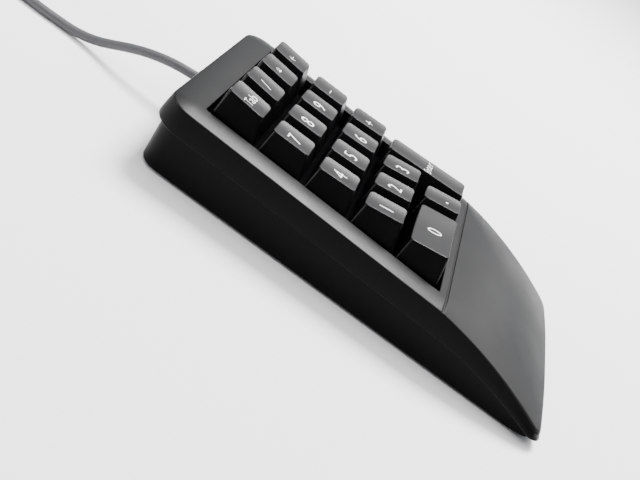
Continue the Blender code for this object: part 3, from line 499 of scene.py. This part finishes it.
class KEYPAD_OT_stage(bpy.types.Operator):
    """Pale floor, soft light and the camera"""
    bl_idname = "keypad.stage"
    bl_label = "Stage"

    def execute(self, context):
        settings = context.scene.keypad_stage
        side = settings.floor_size / 2
        made, tree, shader, where = shader_material("floor_paper", FLOOR_COLOUR, 0.9, specular=0.0)
        paper = two_colours(tree, noise(tree, where, 3, 3.0), FLOOR_DARKER, FLOOR_LIGHTER)
        tree.links.new(paper, shader.inputs["Base Color"])
        mesh = bpy.data.meshes.new("floor")
        corners = [(-side, -side, 0), (side, -side, 0), (side, side, 0), (-side, side, 0)]
        mesh.from_pydata(corners, [], [(0, 1, 2, 3)])
        mesh.materials.append(made)
        floor = bpy.data.objects.new("floor", mesh)
        context.scene.collection.objects.link(floor)

        camera = bpy.data.objects.new("camera", bpy.data.cameras.new("camera"))
        context.scene.collection.objects.link(camera)
        camera.data.lens = settings.lens
        camera.data.clip_start = 0.01
        turn = (CAMERA_AIM - CAMERA_PLACE).to_track_quat('-Z', 'Y').to_matrix().to_4x4()
        roll = Matrix.Rotation(settings.roll, 4, 'Z')
        camera.matrix_world = Matrix.Translation(CAMERA_PLACE) @ turn @ roll
        context.scene.camera = camera

        for softbox in SOFTBOXES:
            self.softbox(*softbox)
        world = bpy.data.worlds.new("studio")
        context.scene.world = world
        world.use_nodes = True
        background = world.node_tree.nodes["Background"]
        background.inputs["Color"].default_value = STUDIO_COLOUR
        background.inputs["Strength"].default_value = STUDIO_STRENGTH
        return {'FINISHED'}

    def softbox(self, name, place, aim, size, power):
        """A square area light that faces its aim."""
        light = bpy.data.lights.new(name, 'AREA')
        light.shape = 'SQUARE'
        light.size = size
        light.energy = power
        lamp = bpy.data.objects.new(name, light)
        bpy.context.scene.collection.objects.link(lamp)
        lamp.location = place
        lamp.rotation_euler = (Vector(aim) - Vector(place)).to_track_quat('-Z', 'Y').to_euler()


# Cord and plug

COIL_CENTRE = Vector((0.0276, 0.1800, 0))
COIL_OUTER, COIL_INNER = 0.0276, 0.0165
COIL_ROWS, COIL_TURNS = 4, 9.25
LAYER_RISE = 1.02                              # height of a layer, in cord diameters
DESK_ROUTE = (
    (0, 0.0936, 0.0151), (0, 0.1030, 0.0126), (0, 0.1106, 0.0094), (0, 0.1163, 0.0065),
    (0, 0.1220, 0.0040), (0, 0.1290, 0.0023), (0, 0.1370, 0.0018), (0, 0.1500, 0.0018),
)
END_ROUTE = (
    (0.0500, 0.2076, 0.0083), (0.0570, 0.2076, 0.0064), (0.0640, 0.2071, 0.0043),
    (0.0700, 0.2070, 0.0034), (0.0765, 0.2070, 0.0036),
)


def smooth_route(route, spacing):
    """Points about spacing apart on a smooth curve through the route's own points."""
    p = np.array(route, float)
    p = np.vstack([2 * p[0] - p[1], p, 2 * p[-1] - p[-2]])
    pieces = []
    for a, b, c, d in zip(p, p[1:], p[2:], p[3:]):
        t = np.linspace(0, 1, max(1, round(np.linalg.norm(c - b) / spacing)), endpoint=False)[:, None]
        pieces.append(0.5 * (2 * b + (c - a) * t + (2 * a - 5 * b + 4 * c - d) * t ** 2
                             + (3 * b - a - 3 * c + d) * t ** 3))
    return np.vstack(pieces + [p[-2:-1]])


def coil_points(turns, diameter):
    """Clockwise turns that wind inwards on the desk, then outwards and inwards again one layer up each time.

    Radius follows a triangle wave of the turn number, and height a staircase with short ramps."""
    pitch = (COIL_OUTER - COIL_INNER) / (COIL_ROWS - 1)
    t = np.linspace(0, turns, round(turns * 36) + 1)
    layer = np.floor(t / COIL_ROWS)
    within = t - layer * COIL_ROWS
    step = np.clip(within, 0, COIL_ROWS - 1)
    inward = layer % 2 == 0
    radius = np.where(inward, COIL_OUTER - step * pitch, COIL_INNER + step * pitch)
    rise = np.clip(within - (COIL_ROWS - 1), 0, 1)
    height = diameter / 2 + diameter * LAYER_RISE * (layer + rise * rise * (3 - 2 * rise))
    angle = np.pi - 2 * np.pi * t
    x = COIL_CENTRE.x + radius * np.cos(angle)
    y = COIL_CENTRE.y + radius * np.sin(angle)
    return np.stack([x, y, height], -1)


class KEYPAD_OT_cord(bpy.types.Operator):
    """The cord: out of the rear wall, down to the desk, a stored coil, and the plug's end"""
    bl_idname = "keypad.cord"
    bl_label = "Cord"

    def execute(self, context):
        settings = context.scene.keypad_cord
        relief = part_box("strain_relief")
        exit_point = (0, relief[1].y, (relief[0].z + relief[1].z) / 2)
        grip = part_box("plug_grip")
        plug_point = (grip[0].x, (grip[0].y + grip[1].y) / 2, (grip[0].z + grip[1].z) / 2)
        coil = coil_points(COIL_TURNS, settings.diameter)
        route = [exit_point, *DESK_ROUTE, *coil[::3][1:].tolist(), *END_ROUTE, plug_point]
        points = smooth_route(route, 0.003)
        curve = bpy.data.curves.new("usb_cord", 'CURVE')
        curve.dimensions = '3D'
        curve.bevel_depth = settings.diameter / 2
        curve.bevel_resolution = 4
        curve.use_fill_caps = True
        spline = curve.splines.new('POLY')
        spline.points.add(len(points) - 1)
        spline.points.foreach_set("co", np.hstack([points, np.ones((len(points), 1))]).ravel())
        spline.use_smooth = True
        curve.materials.append(rubber("cord_jacket_skin", settings.jacket_colour, 0.42, 0.0006))
        cord = bpy.data.objects.new("usb_cord", curve)
        context.scene.collection.objects.link(cord)
        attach(cord, "housing")
        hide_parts("usb_cable", "cable_coil", "cable_end")
        self.strap()
        return {'FINISHED'}

    def strap(self):
        """The strap that holds the coil: a flat band around its section, on the side nearest the keypad."""
        width, thickness, corner, slack, round_cord = 0.006, 0.0006, 0.0016, 0.0002, 0.0019
        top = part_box("cable_coil")[1].z + slack
        half = (COIL_OUTER - COIL_INNER) / 2 + round_cord
        middle = COIL_CENTRE.y - (COIL_OUTER + COIL_INNER) / 2
        rings = []
        for across, share in ((-0.5, 0.7), (-0.42, 1.0), (0.42, 1.0), (0.5, 0.7), (0.5, 0.0), (-0.5, 0.0)):
            out = thickness * share
            radius = corner + out
            loop = rounded_outline(half + out, thickness - out, top + out, radius, radius, 6, 4, 4)[0]
            x = np.full(len(loop), COIL_CENTRE.x + across * width)
            rings.append(np.column_stack([x, middle + loop[:, 0], loop[:, 1]]))
        matter = rubber("strap_weave", (0.010, 0.010, 0.011), 0.75, 0.0005)
        strap = ringed("cord_strap", rings, matter, closed=True)
        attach(strap, "housing")
        return strap


# Housing

def spaced(*stops):
    """Grid lines: (value, steps up to it) pairs after a first value."""
    lines = [np.array([stops[0]])]
    for value, steps in stops[1:]:
        lines.append(np.linspace(lines[-1][-1], value, steps + 1)[1:])
    return np.concatenate(lines)


def bent_corners(x, y, half, front, rear, front_radius, rear_radius):
    """Bends a rectangle's square corners to arcs: within a corner, the unit square (p, q) goes to the
    disc at p * sqrt(1 - q*q/2), q * sqrt(1 - p*p/2)."""
    radius = np.where(y > 0, rear_radius, front_radius)
    sx = np.sign(x)
    inner_x = half - radius
    centre_y = np.where(y > 0, rear - radius, front + radius)
    sy = np.where(y > 0, 1.0, -1.0)
    p = np.clip((np.abs(x) - inner_x) / radius, 0, 1)
    q = np.clip((y - centre_y) * sy / radius, 0, 1)
    bent = (p > 0) & (q > 0)
    new_x = sx * (inner_x + radius * p * np.sqrt(1 - q * q / 2))
    new_y = centre_y + sy * radius * q * np.sqrt(1 - p * p / 2)
    return np.where(bent, new_x, x), np.where(bent, new_y, y)


def outward_normals(x, y, half, front, rear, front_radius, rear_radius):
    """Direction away from the nearest point of the rectangle that the corner arcs are centred on."""
    radius = np.where(y > 0, rear_radius, front_radius)
    dx = x - np.clip(x, -(half - radius), half - radius)
    dy = y - np.clip(y, front + radius, rear - radius)
    size = np.maximum(np.hypot(dx, dy), 1e-12)
    return np.stack([dx / size, dy / size], -1)


def grid_border(columns, r0, r1, c0, c1):
    """Point numbers round a block of the grid, anticlockwise."""
    front = [r0 * columns + c for c in range(c0, c1)]
    right = [r * columns + c1 for r in range(r0, r1)]
    rear = [r1 * columns + c for c in range(c1, c0, -1)]
    left = [r * columns + c0 for r in range(r1, r0, -1)]
    return np.array(front + right + rear + left)


def groove(y, inset, depth, width):
    """Depth of the groove at y: steep in front, rounded behind, fading out before the edge."""
    front_flat, front_slope, rear_flat, rear_slope = 0.3, 0.25, 0.15, 0.55        # shares of its width
    fade_out = 0.0006
    away = (y - GROOVE_Y) / width
    across = np.where(away > 0, (away - rear_flat) / rear_slope, (-away - front_flat) / front_slope)
    across = np.clip(across, 0, 1)
    fade = np.clip((inset - EDGE_INSET) / fade_out, 0, 1)
    return depth * (1 - across * across * (3 - 2 * across)) * fade


class KEYPAD_OT_top_housing(bpy.types.Operator):
    """Upper housing: crowned top with the key well and the groove, rounded edge and flared side band"""
    bl_idname = "keypad.top_housing"
    bl_label = "Upper housing"

    def execute(self, context):
        settings = context.scene.keypad_body
        field = 0.004                          # the grid stops this far in from the rim
        half, front, rear = HALF_WIDTH - field, -HALF_LENGTH + field, HALF_LENGTH - field
        shape = (half, front, rear, FRONT_CORNER - field, REAR_CORNER - field)
        lip = settings.well_radius
        well_x, well_front, well_rear = WELL_HALF_WIDTH + lip, WELL_FRONT - lip, WELL_REAR + lip
        xs = spaced(-half, (-well_x, 13), (-well_x + 0.001, 3), (well_x - 0.001, 60), (well_x, 3), (half, 13))
        wide = settings.groove_width
        ys = spaced(front, (front + 0.006, 8), (GROOVE_Y - wide, 44), (GROOVE_Y + wide, 24), (well_front, 6),
                    (well_front + 0.001, 3), (well_rear - 0.001, 70), (well_rear, 3), (rear - 0.006, 3),
                    (rear, 10))
        x, y = np.meshgrid(xs, ys)
        x, y = bent_corners(x, y, *shape)
        z = top_height(x, y) - groove(y, field, settings.groove_depth, wide)
        points = np.stack([x, y, z], -1).reshape(-1, 3)
        rows, columns = x.shape
        c0, c1 = np.searchsorted(xs, (-well_x - 1e-9, well_x - 1e-9))
        r0, r1 = np.searchsorted(ys, (well_front - 1e-9, well_rear - 1e-9))
        faces = grid_faces(rows, columns)
        row, column = np.divmod(faces[:, 0], columns)
        faces = faces[~((row >= r0) & (row < r1) & (column >= c0) & (column < c1))]

        # side band, outwards from the grid's border
        border = grid_border(columns, 0, rows - 1, 0, columns - 1)
        base = points[border][:, :2]
        normal = outward_normals(base[:, 0], base[:, 1], *shape)
        nose, nose_rounding = 0.04, 3.0
        edge = settings.edge_radius * np.interp(base[:, 1], (front, front + nose), (nose_rounding, 1.0))
        rings = []
        for share in np.linspace(0, 1, 5)[1:]:
            inset = field + share * (EDGE_INSET + edge - field)
            rings.append((inset, 0 * edge, 0.0))
        for angle in np.radians(np.linspace(0, 84, 9)[1:]):
            rings.append((EDGE_INSET + edge * (1 - np.sin(angle)), edge * (1 - np.cos(angle)), 0.0))
        rim, flare, rounded = settings.rim_radius, 1.3, 0.9
        for share in np.linspace(0, 1, 7)[1:]:
            rings.append((EDGE_INSET * (1 - share) ** flare, edge * rounded, share))
        for angle in np.radians((25, 50, 75)):
            rings.append((rim * (1 - np.cos(angle)), -rim * np.sin(angle), None))
        chunks, loop = [points], border

        def add(at, height):
            """Adds a ring of points and joins it to the loop before it."""
            nonlocal faces, loop
            new = sum(map(len, chunks)) + np.arange(len(at))
            chunks.append(np.column_stack([at, height]))
            faces, loop = np.vstack([faces, bridge(loop, new)]), new

        for inset, drop, down in rings:
            at = base + normal * (field - np.asarray(inset) * np.ones(len(base)))[:, None]
            foot = seam_height(base[:, 1]) + rim
            if down is None:
                height = foot + drop
            else:
                cut_in = groove(at[:, 1], inset, settings.groove_depth, wide)
                top = top_height(at[:, 0], at[:, 1]) - drop - cut_in
                height = top + down * (foot - top)
            add(at, height)

        # well walls, down from the grid's inner border
        hole = grid_border(columns, r0, r1, c0, c1)
        base = points[hole][:, :2]
        middle_y = (well_front + well_rear) / 2
        corner = lip + WELL_CORNER
        well_shape = (well_x, well_front - middle_y, well_rear - middle_y, corner, corner)
        bx, by = bent_corners(base[:, 0], base[:, 1] - middle_y, *well_shape)
        normal = outward_normals(bx, by, *well_shape)
        base = np.column_stack([bx, by + middle_y])
        points[hole, :2] = base
        loop = hole
        steps = [(lip * np.sin(a), lip * (1 - np.cos(a))) for a in np.radians(np.linspace(0, 90, 6)[1:])]
        steps += [(lip, lip + (WELL_DEPTH - lip) * share) for share in (0.15, 0.5, 1.0)]
        for inward, drop in steps:
            at = base - normal * inward
            add(at, deck_height(at[:, 1]) - drop)

        points = np.vstack(chunks)
        used, faces = np.unique(faces, return_inverse=True)
        matter = textured_plastic("housing_plastic_skin", settings.housing_colour, 0.36, specular=0.14)
        housing = mesh_object("upper_housing", points[used], faces.reshape(-1, 4), matter)
        if sum(p.normal.z * p.area for p in housing.data.polygons) < 0:
            housing.data.flip_normals()
        # Painted shade: the side band and well walls get a darker, duller copy of the housing plastic.
        paint_shade_on_sides(housing, matte_plastic_and_side_shade("housing_painted_shade_skin", settings.lower_and_side_shade_colour), limit=0.45)
        solid = housing.modifiers.new("wall", 'SOLIDIFY')
        solid.thickness, solid.offset = settings.wall, -1
        evaluated_copy(housing)
        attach(housing, "housing")
        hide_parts("top_housing")
        return {'FINISHED'}


class KEYPAD_OT_bottom_shell(bpy.types.Operator):
    """Lower shell: inset tray whose wall follows the seam, with a lip inside it and a nose that curves up"""
    bl_idname = "keypad.bottom_shell"
    bl_label = "Lower shell"

    def execute(self, context):
        settings = context.scene.keypad_body
        foot_line = LOWER_INSET + LOWER_DRAFT
        nose_run, nose_rise, floor, edge = 0.0100, 0.0008, 0.0020, 0.0010
        lip_rise, taper = 0.0010, 0.0004
        clearance, pad_recess, screw_recess = 0.0003, 0.0007, 0.0033

        def outline(inset, front=None):
            return rounded_outline(
                HALF_WIDTH - inset, -HALF_LENGTH + inset if front is None else front, HALF_LENGTH - inset,
                max(FRONT_CORNER - inset, 0.0005), max(REAR_CORNER - inset, 0.0005), 12, 40, 12)[0]

        def ring(points, height):
            z = height(points[:, 1]) if callable(height) else np.full(len(points), height)
            return np.column_stack([points, z])

        def under(y, lift):
            run = np.maximum(0.0, -HALF_LENGTH + foot_line + nose_run - y)
            return UNDERSIDE + lift + nose_rise * (run / nose_run) ** 2

        flat_front = -HALF_LENGTH + foot_line + nose_run
        lip, inner = LOWER_INSET + 0.0010, LOWER_INSET + 0.0020
        rings = [ring(outline(foot_line + edge, flat_front), UNDERSIDE)]
        for angle in np.radians((25, 50, 70, 90)):
            inset = foot_line + edge * (1 - np.sin(angle))
            front = flat_front + np.sin(angle) * (-HALF_LENGTH + foot_line - flat_front)
            rings.append(ring(outline(inset, front), lambda y, a=angle: under(y, edge * (1 - np.cos(a)))))
        side = ring(outline(LOWER_INSET), lambda y: seam_height(y) - SEAM_GAP)
        first = rings[-1]
        rings += [first + (side - first) * share for share in (0.25, 0.5, 0.75)]
        rings += [side, ring(outline(lip), lambda y: seam_height(y) - SEAM_GAP),
                  ring(outline(lip), lambda y: seam_height(y) + lip_rise),
                  ring(outline(inner), lambda y: seam_height(y) + lip_rise),
                  ring(outline(inner + taper), UNDERSIDE + floor)]
        matter = matte_plastic_and_side_shade("lower_shell_skin", settings.lower_and_side_shade_colour)
        shell = ringed("lower_shell", rings, matter, smooth_angle=30)
        tools = []
        for corner in CORNERS:
            low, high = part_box("rubber_foot_" + corner)
            recess = (high.x - low.x) / 2 + clearance
            tools.append(turned("cutter", ((recess, -CUTTER_START), (recess, UNDERSIDE + pad_recess)), 48,
                                matter, middle_of(low, high)))
            low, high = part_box("housing_screw_" + corner)
            head = (high.x - low.x) / 2 + clearance
            tools.append(turned("cutter", ((head, -CUTTER_START), (head, UNDERSIDE + screw_recess)), 32,
                                matter, middle_of(low, high)))
        cut(shell, tools)
        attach(shell, "housing")
        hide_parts("bottom_shell")
        return {'FINISHED'}


# Keys

def key_middle(key):
    """Middle of a key on the deck."""
    column, row, wide, tall = key[1:5]
    x = (column + wide / 2 - COLUMNS / 2) * KEY_PITCH
    y = FIRST_ROW - (row + (tall - 1) / 2) * KEY_PITCH
    return Vector((x, y / math.cos(TILT), 0))


def key_halves(key):
    """Half of a key's width and half of its depth, at its skirt."""
    return (key[3] * KEY_PITCH - KEY_SPACE_X) / 2, (key[4] * KEY_PITCH - KEY_SPACE_Y) / 2


def key_face(key):
    """Height and slope of a key's face."""
    return ENTER_FACE if key[4] == 2 else ROW_FACES[key[2]]


def key_face_height(key, x, y, dish):
    """Height of a key's face: a sloping plane, hollowed across its width as a shallow cylinder."""
    height, slope = key_face(key)
    reach = key_halves(key)[0] - LEAN_SIDE
    return height + (y - FACE_SHIFT) * math.tan(slope) - dish * (1 - np.minimum(1.0, (x / reach) ** 2))


class KEYPAD_OT_keycaps(bpy.types.Operator):
    """Keycaps: dished faces, rounded edges, leaning sides, hollow inside, on a round stem"""
    bl_idname = "keypad.keycaps"
    bl_label = "Keycaps"

    def execute(self, context):
        settings = context.scene.keypad_keys
        matter = textured_plastic("keycap_skin", settings.cap_colour, 0.36, grain=0.00022, depth=0.000012,
                                  specular=0.22)
        # Painted shade: the keys' sides get a darker, duller copy of the keycap plastic.
        side = textured_plastic("keycap_painted_shade_skin", settings.painted_side_shade_colour, 0.34, grain=0.00022, depth=0.00001,
                                specular=0.09)
        for key in KEYS:
            cap = ringed("cap_" + key[0], self.rings(key, settings), matter,
                         DECK @ Matrix.Translation(key_middle(key)), smooth_angle=50)
            paint_shade_on_sides(cap, side, limit=0.6)
            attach(cap, "key_" + key[0])
            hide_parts("keycap_" + key[0])
        return {'FINISHED'}

    def rings(self, key, settings):
        """Rings from the face's middle out, round its edge, down the sides, and up inside to the stem."""
        half_x, half_y = key_halves(key)
        edge, corner = settings.edge_radius, settings.face_corner
        steps = (6, 8 * key[4], 8 * key[3])
        far = math.radians(73)
        overhang = 0.24
        skirt_corner, inner_corner, rim = 0.0010, 0.0006, 0.0001

        def outline(side, front, rear, radius):
            return rounded_outline(half_x - side, front - half_y, half_y - rear, radius, radius, *steps)[0]

        def face_outline(inset, radius):
            return outline(LEAN_SIDE + inset, LEAN_FRONT + inset, LEAN_REAR + inset, radius)

        def level(points, depth):
            return np.column_stack([points, np.full(len(points), -depth)])

        def face_ring(points, drop):
            z = key_face_height(key, points[:, 0], points[:, 1], settings.dish) - drop
            return np.column_stack([points, z])

        flat = face_outline(edge, max(corner - edge, 0.0004))
        middle = flat.mean(0)
        rings = [face_ring(middle + (flat - middle) * share, 0) for share in np.linspace(0, 1, 13)[1:]]
        for angle in np.linspace(0, far, 8)[1:]:
            out = (1 + overhang) * edge * math.sin(angle) / math.sin(far)
            points = face_outline(edge - out, corner - edge + out)
            rings.append(face_ring(points, edge * (1 - math.cos(angle))))
        skirt = outline(0, 0, 0, skirt_corner)
        skirt[:, 1] = np.minimum(skirt[:, 1], half_y)
        bottom = level(skirt, SKIRT_DEPTH)
        top = rings[-1]
        rings += [top + (bottom - top) * share for share in (0.2, 0.4, 0.6, 0.8, 0.985)]
        rings.append(level(outline(rim, rim, rim, skirt_corner), SKIRT_DEPTH))
        rings.append(level(outline(KEY_WALL, KEY_WALL, KEY_WALL, inner_corner), SKIRT_DEPTH))
        ceiling = face_outline(KEY_WALL, inner_corner)
        height, slope = key_face(key)

        def under_roof(points):
            z = height + (points[:, 1] - FACE_SHIFT) * math.tan(slope) - settings.dish - KEY_ROOF
            return np.column_stack([points, z])

        rings.append(under_roof(ceiling))
        angle = np.arctan2((ceiling[:, 1] - middle[1]) / (half_y - LEAN_FRONT / 2),
                           ceiling[:, 0] / (half_x - LEAN_SIDE))
        stem = STEM_RADIUS * np.stack([np.cos(angle), np.sin(angle)], -1)
        rings.append(under_roof(stem))
        rings.append(level(stem, STEM_DEPTH))
        return np.array(rings)


class KEYPAD_OT_legends(bpy.types.Operator):
    """Printed legends that follow the dished faces"""
    bl_idname = "keypad.legends"
    bl_label = "Legends"

    def execute(self, context):
        settings = context.scene.keypad_keys
        matter, tree, shader, where = shader_material("legend_ink", settings.legend_colour, 0.5)
        worn = noise(tree, where, 1 / 0.0004, 3.0)
        mottled(tree, shader, worn, settings.legend_colour, 0.9, 1.05)
        for key in KEYS:
            self.legend(key, settings, matter)
        return {'FINISHED'}

    def legend(self, key, settings, matter):
        """One key's letters, cut into strips so that they bend with the face, and given their thickness."""
        name, text, height, shift = key[0], *key[5:]
        capital_share, reach, spacing = 0.72, 0.008, 0.0005
        lift, thickness = 0.00003, 0.00008
        letters = bpy.data.curves.new("letters", 'FONT')
        letters.body = text
        letters.align_x, letters.align_y = 'CENTER', 'CENTER'
        letters.size = 1.0
        letters.resolution_u = 6
        holder = bpy.data.objects.new("letters", letters)
        bpy.context.scene.collection.objects.link(holder)
        bpy.context.view_layer.update()
        size = height / capital_share
        letters.offset = settings.legend_stroke / size
        mesh = bpy.data.meshes.new_from_object(holder.evaluated_get(bpy.context.evaluated_depsgraph_get()))
        bpy.data.objects.remove(holder)
        work = bmesh.new()
        work.from_mesh(mesh)
        corners = np.array([v.co for v in work.verts])
        middle = (corners.min(0) + corners.max(0)) / 2
        if text == ".":
            middle = corners.mean(0)
        bmesh.ops.transform(work, matrix=Matrix.Scale(size, 4) @ Matrix.Translation(-Vector(middle)),
                            verts=work.verts)
        bmesh.ops.remove_doubles(work, verts=work.verts, dist=1e-7)
        for line in np.arange(-reach, reach + spacing / 2, spacing):
            bmesh.ops.bisect_plane(work, geom=work.verts[:] + work.edges[:] + work.faces[:],
                                   plane_co=(line, 0, 0), plane_no=(1, 0, 0))
        work.to_mesh(mesh)
        work.free()
        points = np.array([v.co for v in mesh.vertices])
        points[:, 1] += FACE_SHIFT + shift
        points[:, 2] = key_face_height(key, points[:, 0], points[:, 1], settings.dish) + lift
        mesh.vertices.foreach_set("co", points.ravel())
        mesh.transform(DECK @ Matrix.Translation(key_middle(key)))
        mesh.materials.clear()
        mesh.materials.append(matter)
        legend = bpy.data.objects.new("legend_" + name, mesh)
        bpy.context.scene.collection.objects.link(legend)
        film_of_ink = legend.modifiers.new("ink", 'SOLIDIFY')
        film_of_ink.thickness, film_of_ink.offset = thickness, -1
        evaluated_copy(legend)
        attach(legend, "key_" + name)


class KEYPAD_OT_domes(bpy.types.Operator):
    """Silicone domes under the keys"""
    bl_idname = "keypad.domes"
    bl_label = "Domes"

    def execute(self, context):
        matter = rubber("dome_silicone", (0.55, 0.56, 0.56), 0.5)
        top = -STEM_DEPTH - 0.0003
        base = top - DOME_HEIGHT
        profile = ((0.0012, top - 0.0001), (0.0022, top), (0.0026, top - 0.0002), (0.0030, top - 0.0008),
                   (0.0042, base + 0.0010), (0.0045, base + 0.0006), (0.0052, base + 0.0005), (0.0052, base),
                   (0.0040, base), (0.0036, base + 0.0009), (0.0022, top - 0.0010), (0.0010, top - 0.0009))
        for key in KEYS:
            at = DECK @ Matrix.Translation(key_middle(key))
            dome = turned("silicone_dome_" + key[0], profile, 32, matter, at)
            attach(dome, "housing")
            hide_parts("dome_" + key[0])
            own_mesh(dome)
        return {'FINISHED'}


# Small parts

class KEYPAD_OT_feet_and_screws(bpy.types.Operator):
    """Rubber pads and cross-head screws under the lower shell"""
    bl_idname = "keypad.feet_and_screws"
    bl_label = "Feet and screws"

    def execute(self, context):
        pad_matter = rubber("foot_pad_rubber", (0.010, 0.010, 0.010), 0.8)
        screw_matter = metal("screw_steel", (0.50, 0.50, 0.51), 0.32)
        slot_reach, slot_half, slot_depth, slot_turn = 0.0013, 0.00028, 0.0010, 20
        for corner in CORNERS:
            low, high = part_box("rubber_foot_" + corner)
            at = middle_of(low, high)
            radius, top = (high.x - low.x) / 2, high.z
            profile = ((radius - 0.0012, 0.00005), (radius - 0.0006, 0), (radius - 0.0002, 0.0001),
                       (radius, 0.0004), (radius, top))
            pad = turned("rubber_pad_" + corner, profile, 48, pad_matter, at)
            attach(pad, "housing")
            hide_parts("rubber_foot_" + corner)

            low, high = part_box("housing_screw_" + corner)
            at = middle_of(low, high)
            head, shank, face = (high.x - low.x) / 2, 0.0013, low.z
            profile = [(head - 0.0006, face), (head - 0.0001, face + 0.0003), (head, face + 0.0007),
                       (head, face + 0.0018), (shank, face + 0.0018)]
            turns = np.arange(face + 0.0026, high.z - 0.0008, 0.0010)
            profile += [(shank - 0.0002 * (i % 2), z) for i, z in enumerate(turns)] + [(0.0004, high.z)]
            screw = turned("screw_" + corner, profile, 32, screw_matter, at)
            slot = np.array([(x * slot_reach, y * slot_half, face + z) for z in (-CUTTER_START, slot_depth)
                             for x, y in ((-1, -1), (1, -1), (1, 1), (-1, 1))])
            slot_faces = [(0, 1, 2, 3), (4, 5, 6, 7), (0, 1, 5, 4), (1, 2, 6, 5), (2, 3, 7, 6), (3, 0, 4, 7)]
            cut(screw, [mesh_object("cutter", slot, slot_faces, screw_matter,
                                    at @ Matrix.Rotation(math.radians(side + slot_turn), 4, 'Z'))
                        for side in (0, 90)])
            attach(screw, "housing")
            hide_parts("housing_screw_" + corner)
        return {'FINISHED'}


class KEYPAD_OT_inner_parts(bpy.types.Operator):
    """Finishes of the parts inside, which keep their own shape"""
    bl_idname = "keypad.inner_parts"
    bl_label = "Inner parts"

    def execute(self, context):
        steel = metal("zinc_plated_steel", (0.55, 0.55, 0.56), 0.35)
        sheet = film("membrane_polyester", (0.50, 0.56, 0.54))
        relief = textured_plastic("relief_rubber", (0.012, 0.012, 0.013), 0.5, grain=0.0005)
        finishes = {
            # Near black and almost without reflection, so the gaps between the keys show painted shade.
            "key_frame": textured_plastic("frame_painted_shade_skin", (0.0008, 0.0008, 0.0008), 0.7, specular=0.01),
            "membrane_upper_sheet": sheet, "membrane_lower_sheet": sheet,
            "backing_plate": steel, "stabiliser_bar_zero": steel, "stabiliser_bar_enter": steel,
            "controller_board": textured_plastic("solder_mask", (0.015, 0.11, 0.04), 0.35),
            "internal_lead": rubber("lead_jacket", (0.03, 0.03, 0.03), 0.5),
            "strain_relief": relief, "plug_grip": relief,
            "plug_shell": metal("plug_nickel", (0.62, 0.62, 0.63), 0.25),
        }
        for node, matter in finishes.items():
            part = frame["nodes"][node]
            part.data.materials.clear()
            part.data.materials.append(matter)
        return {'FINISHED'}


class KEYPAD_PT_panel(bpy.types.Panel):
    """Lists the keypad's operators and settings"""
    bl_idname = "KEYPAD_PT_panel"
    bl_label = "Numeric keypad"
    bl_space_type = 'VIEW_3D'
    bl_region_type = 'UI'
    bl_category = "Keypad"

    def draw(self, context):
        layout = self.layout
        for operator in OPERATORS:
            layout.operator(operator.bl_idname)
        for name in SETTINGS:
            box = layout.box()
            group = getattr(context.scene, name)
            for prop in group.bl_rna.properties:
                if prop.identifier not in ("rna_type", "name"):
                    box.prop(group, prop.identifier)


OPERATORS = (
    KEYPAD_OT_stage, KEYPAD_OT_cord, KEYPAD_OT_top_housing, KEYPAD_OT_bottom_shell, KEYPAD_OT_keycaps,
    KEYPAD_OT_legends, KEYPAD_OT_domes, KEYPAD_OT_feet_and_screws, KEYPAD_OT_inner_parts,
)
SETTINGS = {
    "keypad_body": KeypadBodySettings,
    "keypad_keys": KeypadKeySettings,
    "keypad_cord": KeypadCordSettings,
    "keypad_stage": KeypadStageSettings,
}


def register():
    for name, group in SETTINGS.items():
        bpy.utils.register_class(group)
        setattr(bpy.types.Scene, name, PointerProperty(type=group))
    for operator in OPERATORS:
        bpy.utils.register_class(operator)
    bpy.utils.register_class(KEYPAD_PT_panel)


def unregister():
    bpy.utils.unregister_class(KEYPAD_PT_panel)
    for operator in reversed(OPERATORS):
        bpy.utils.unregister_class(operator)
    for name, group in SETTINGS.items():
        delattr(bpy.types.Scene, name)
        bpy.utils.unregister_class(group)


def main():
    register()
    bpy.ops.keypad.stage()
    bpy.ops.keypad.cord()
    bpy.ops.keypad.top_housing()
    bpy.ops.keypad.bottom_shell()
    bpy.ops.keypad.keycaps()
    bpy.ops.keypad.legends()
    bpy.ops.keypad.domes()
    bpy.ops.keypad.feet_and_screws()
    bpy.ops.keypad.inner_parts()


if __name__ == "__main__":
    main()
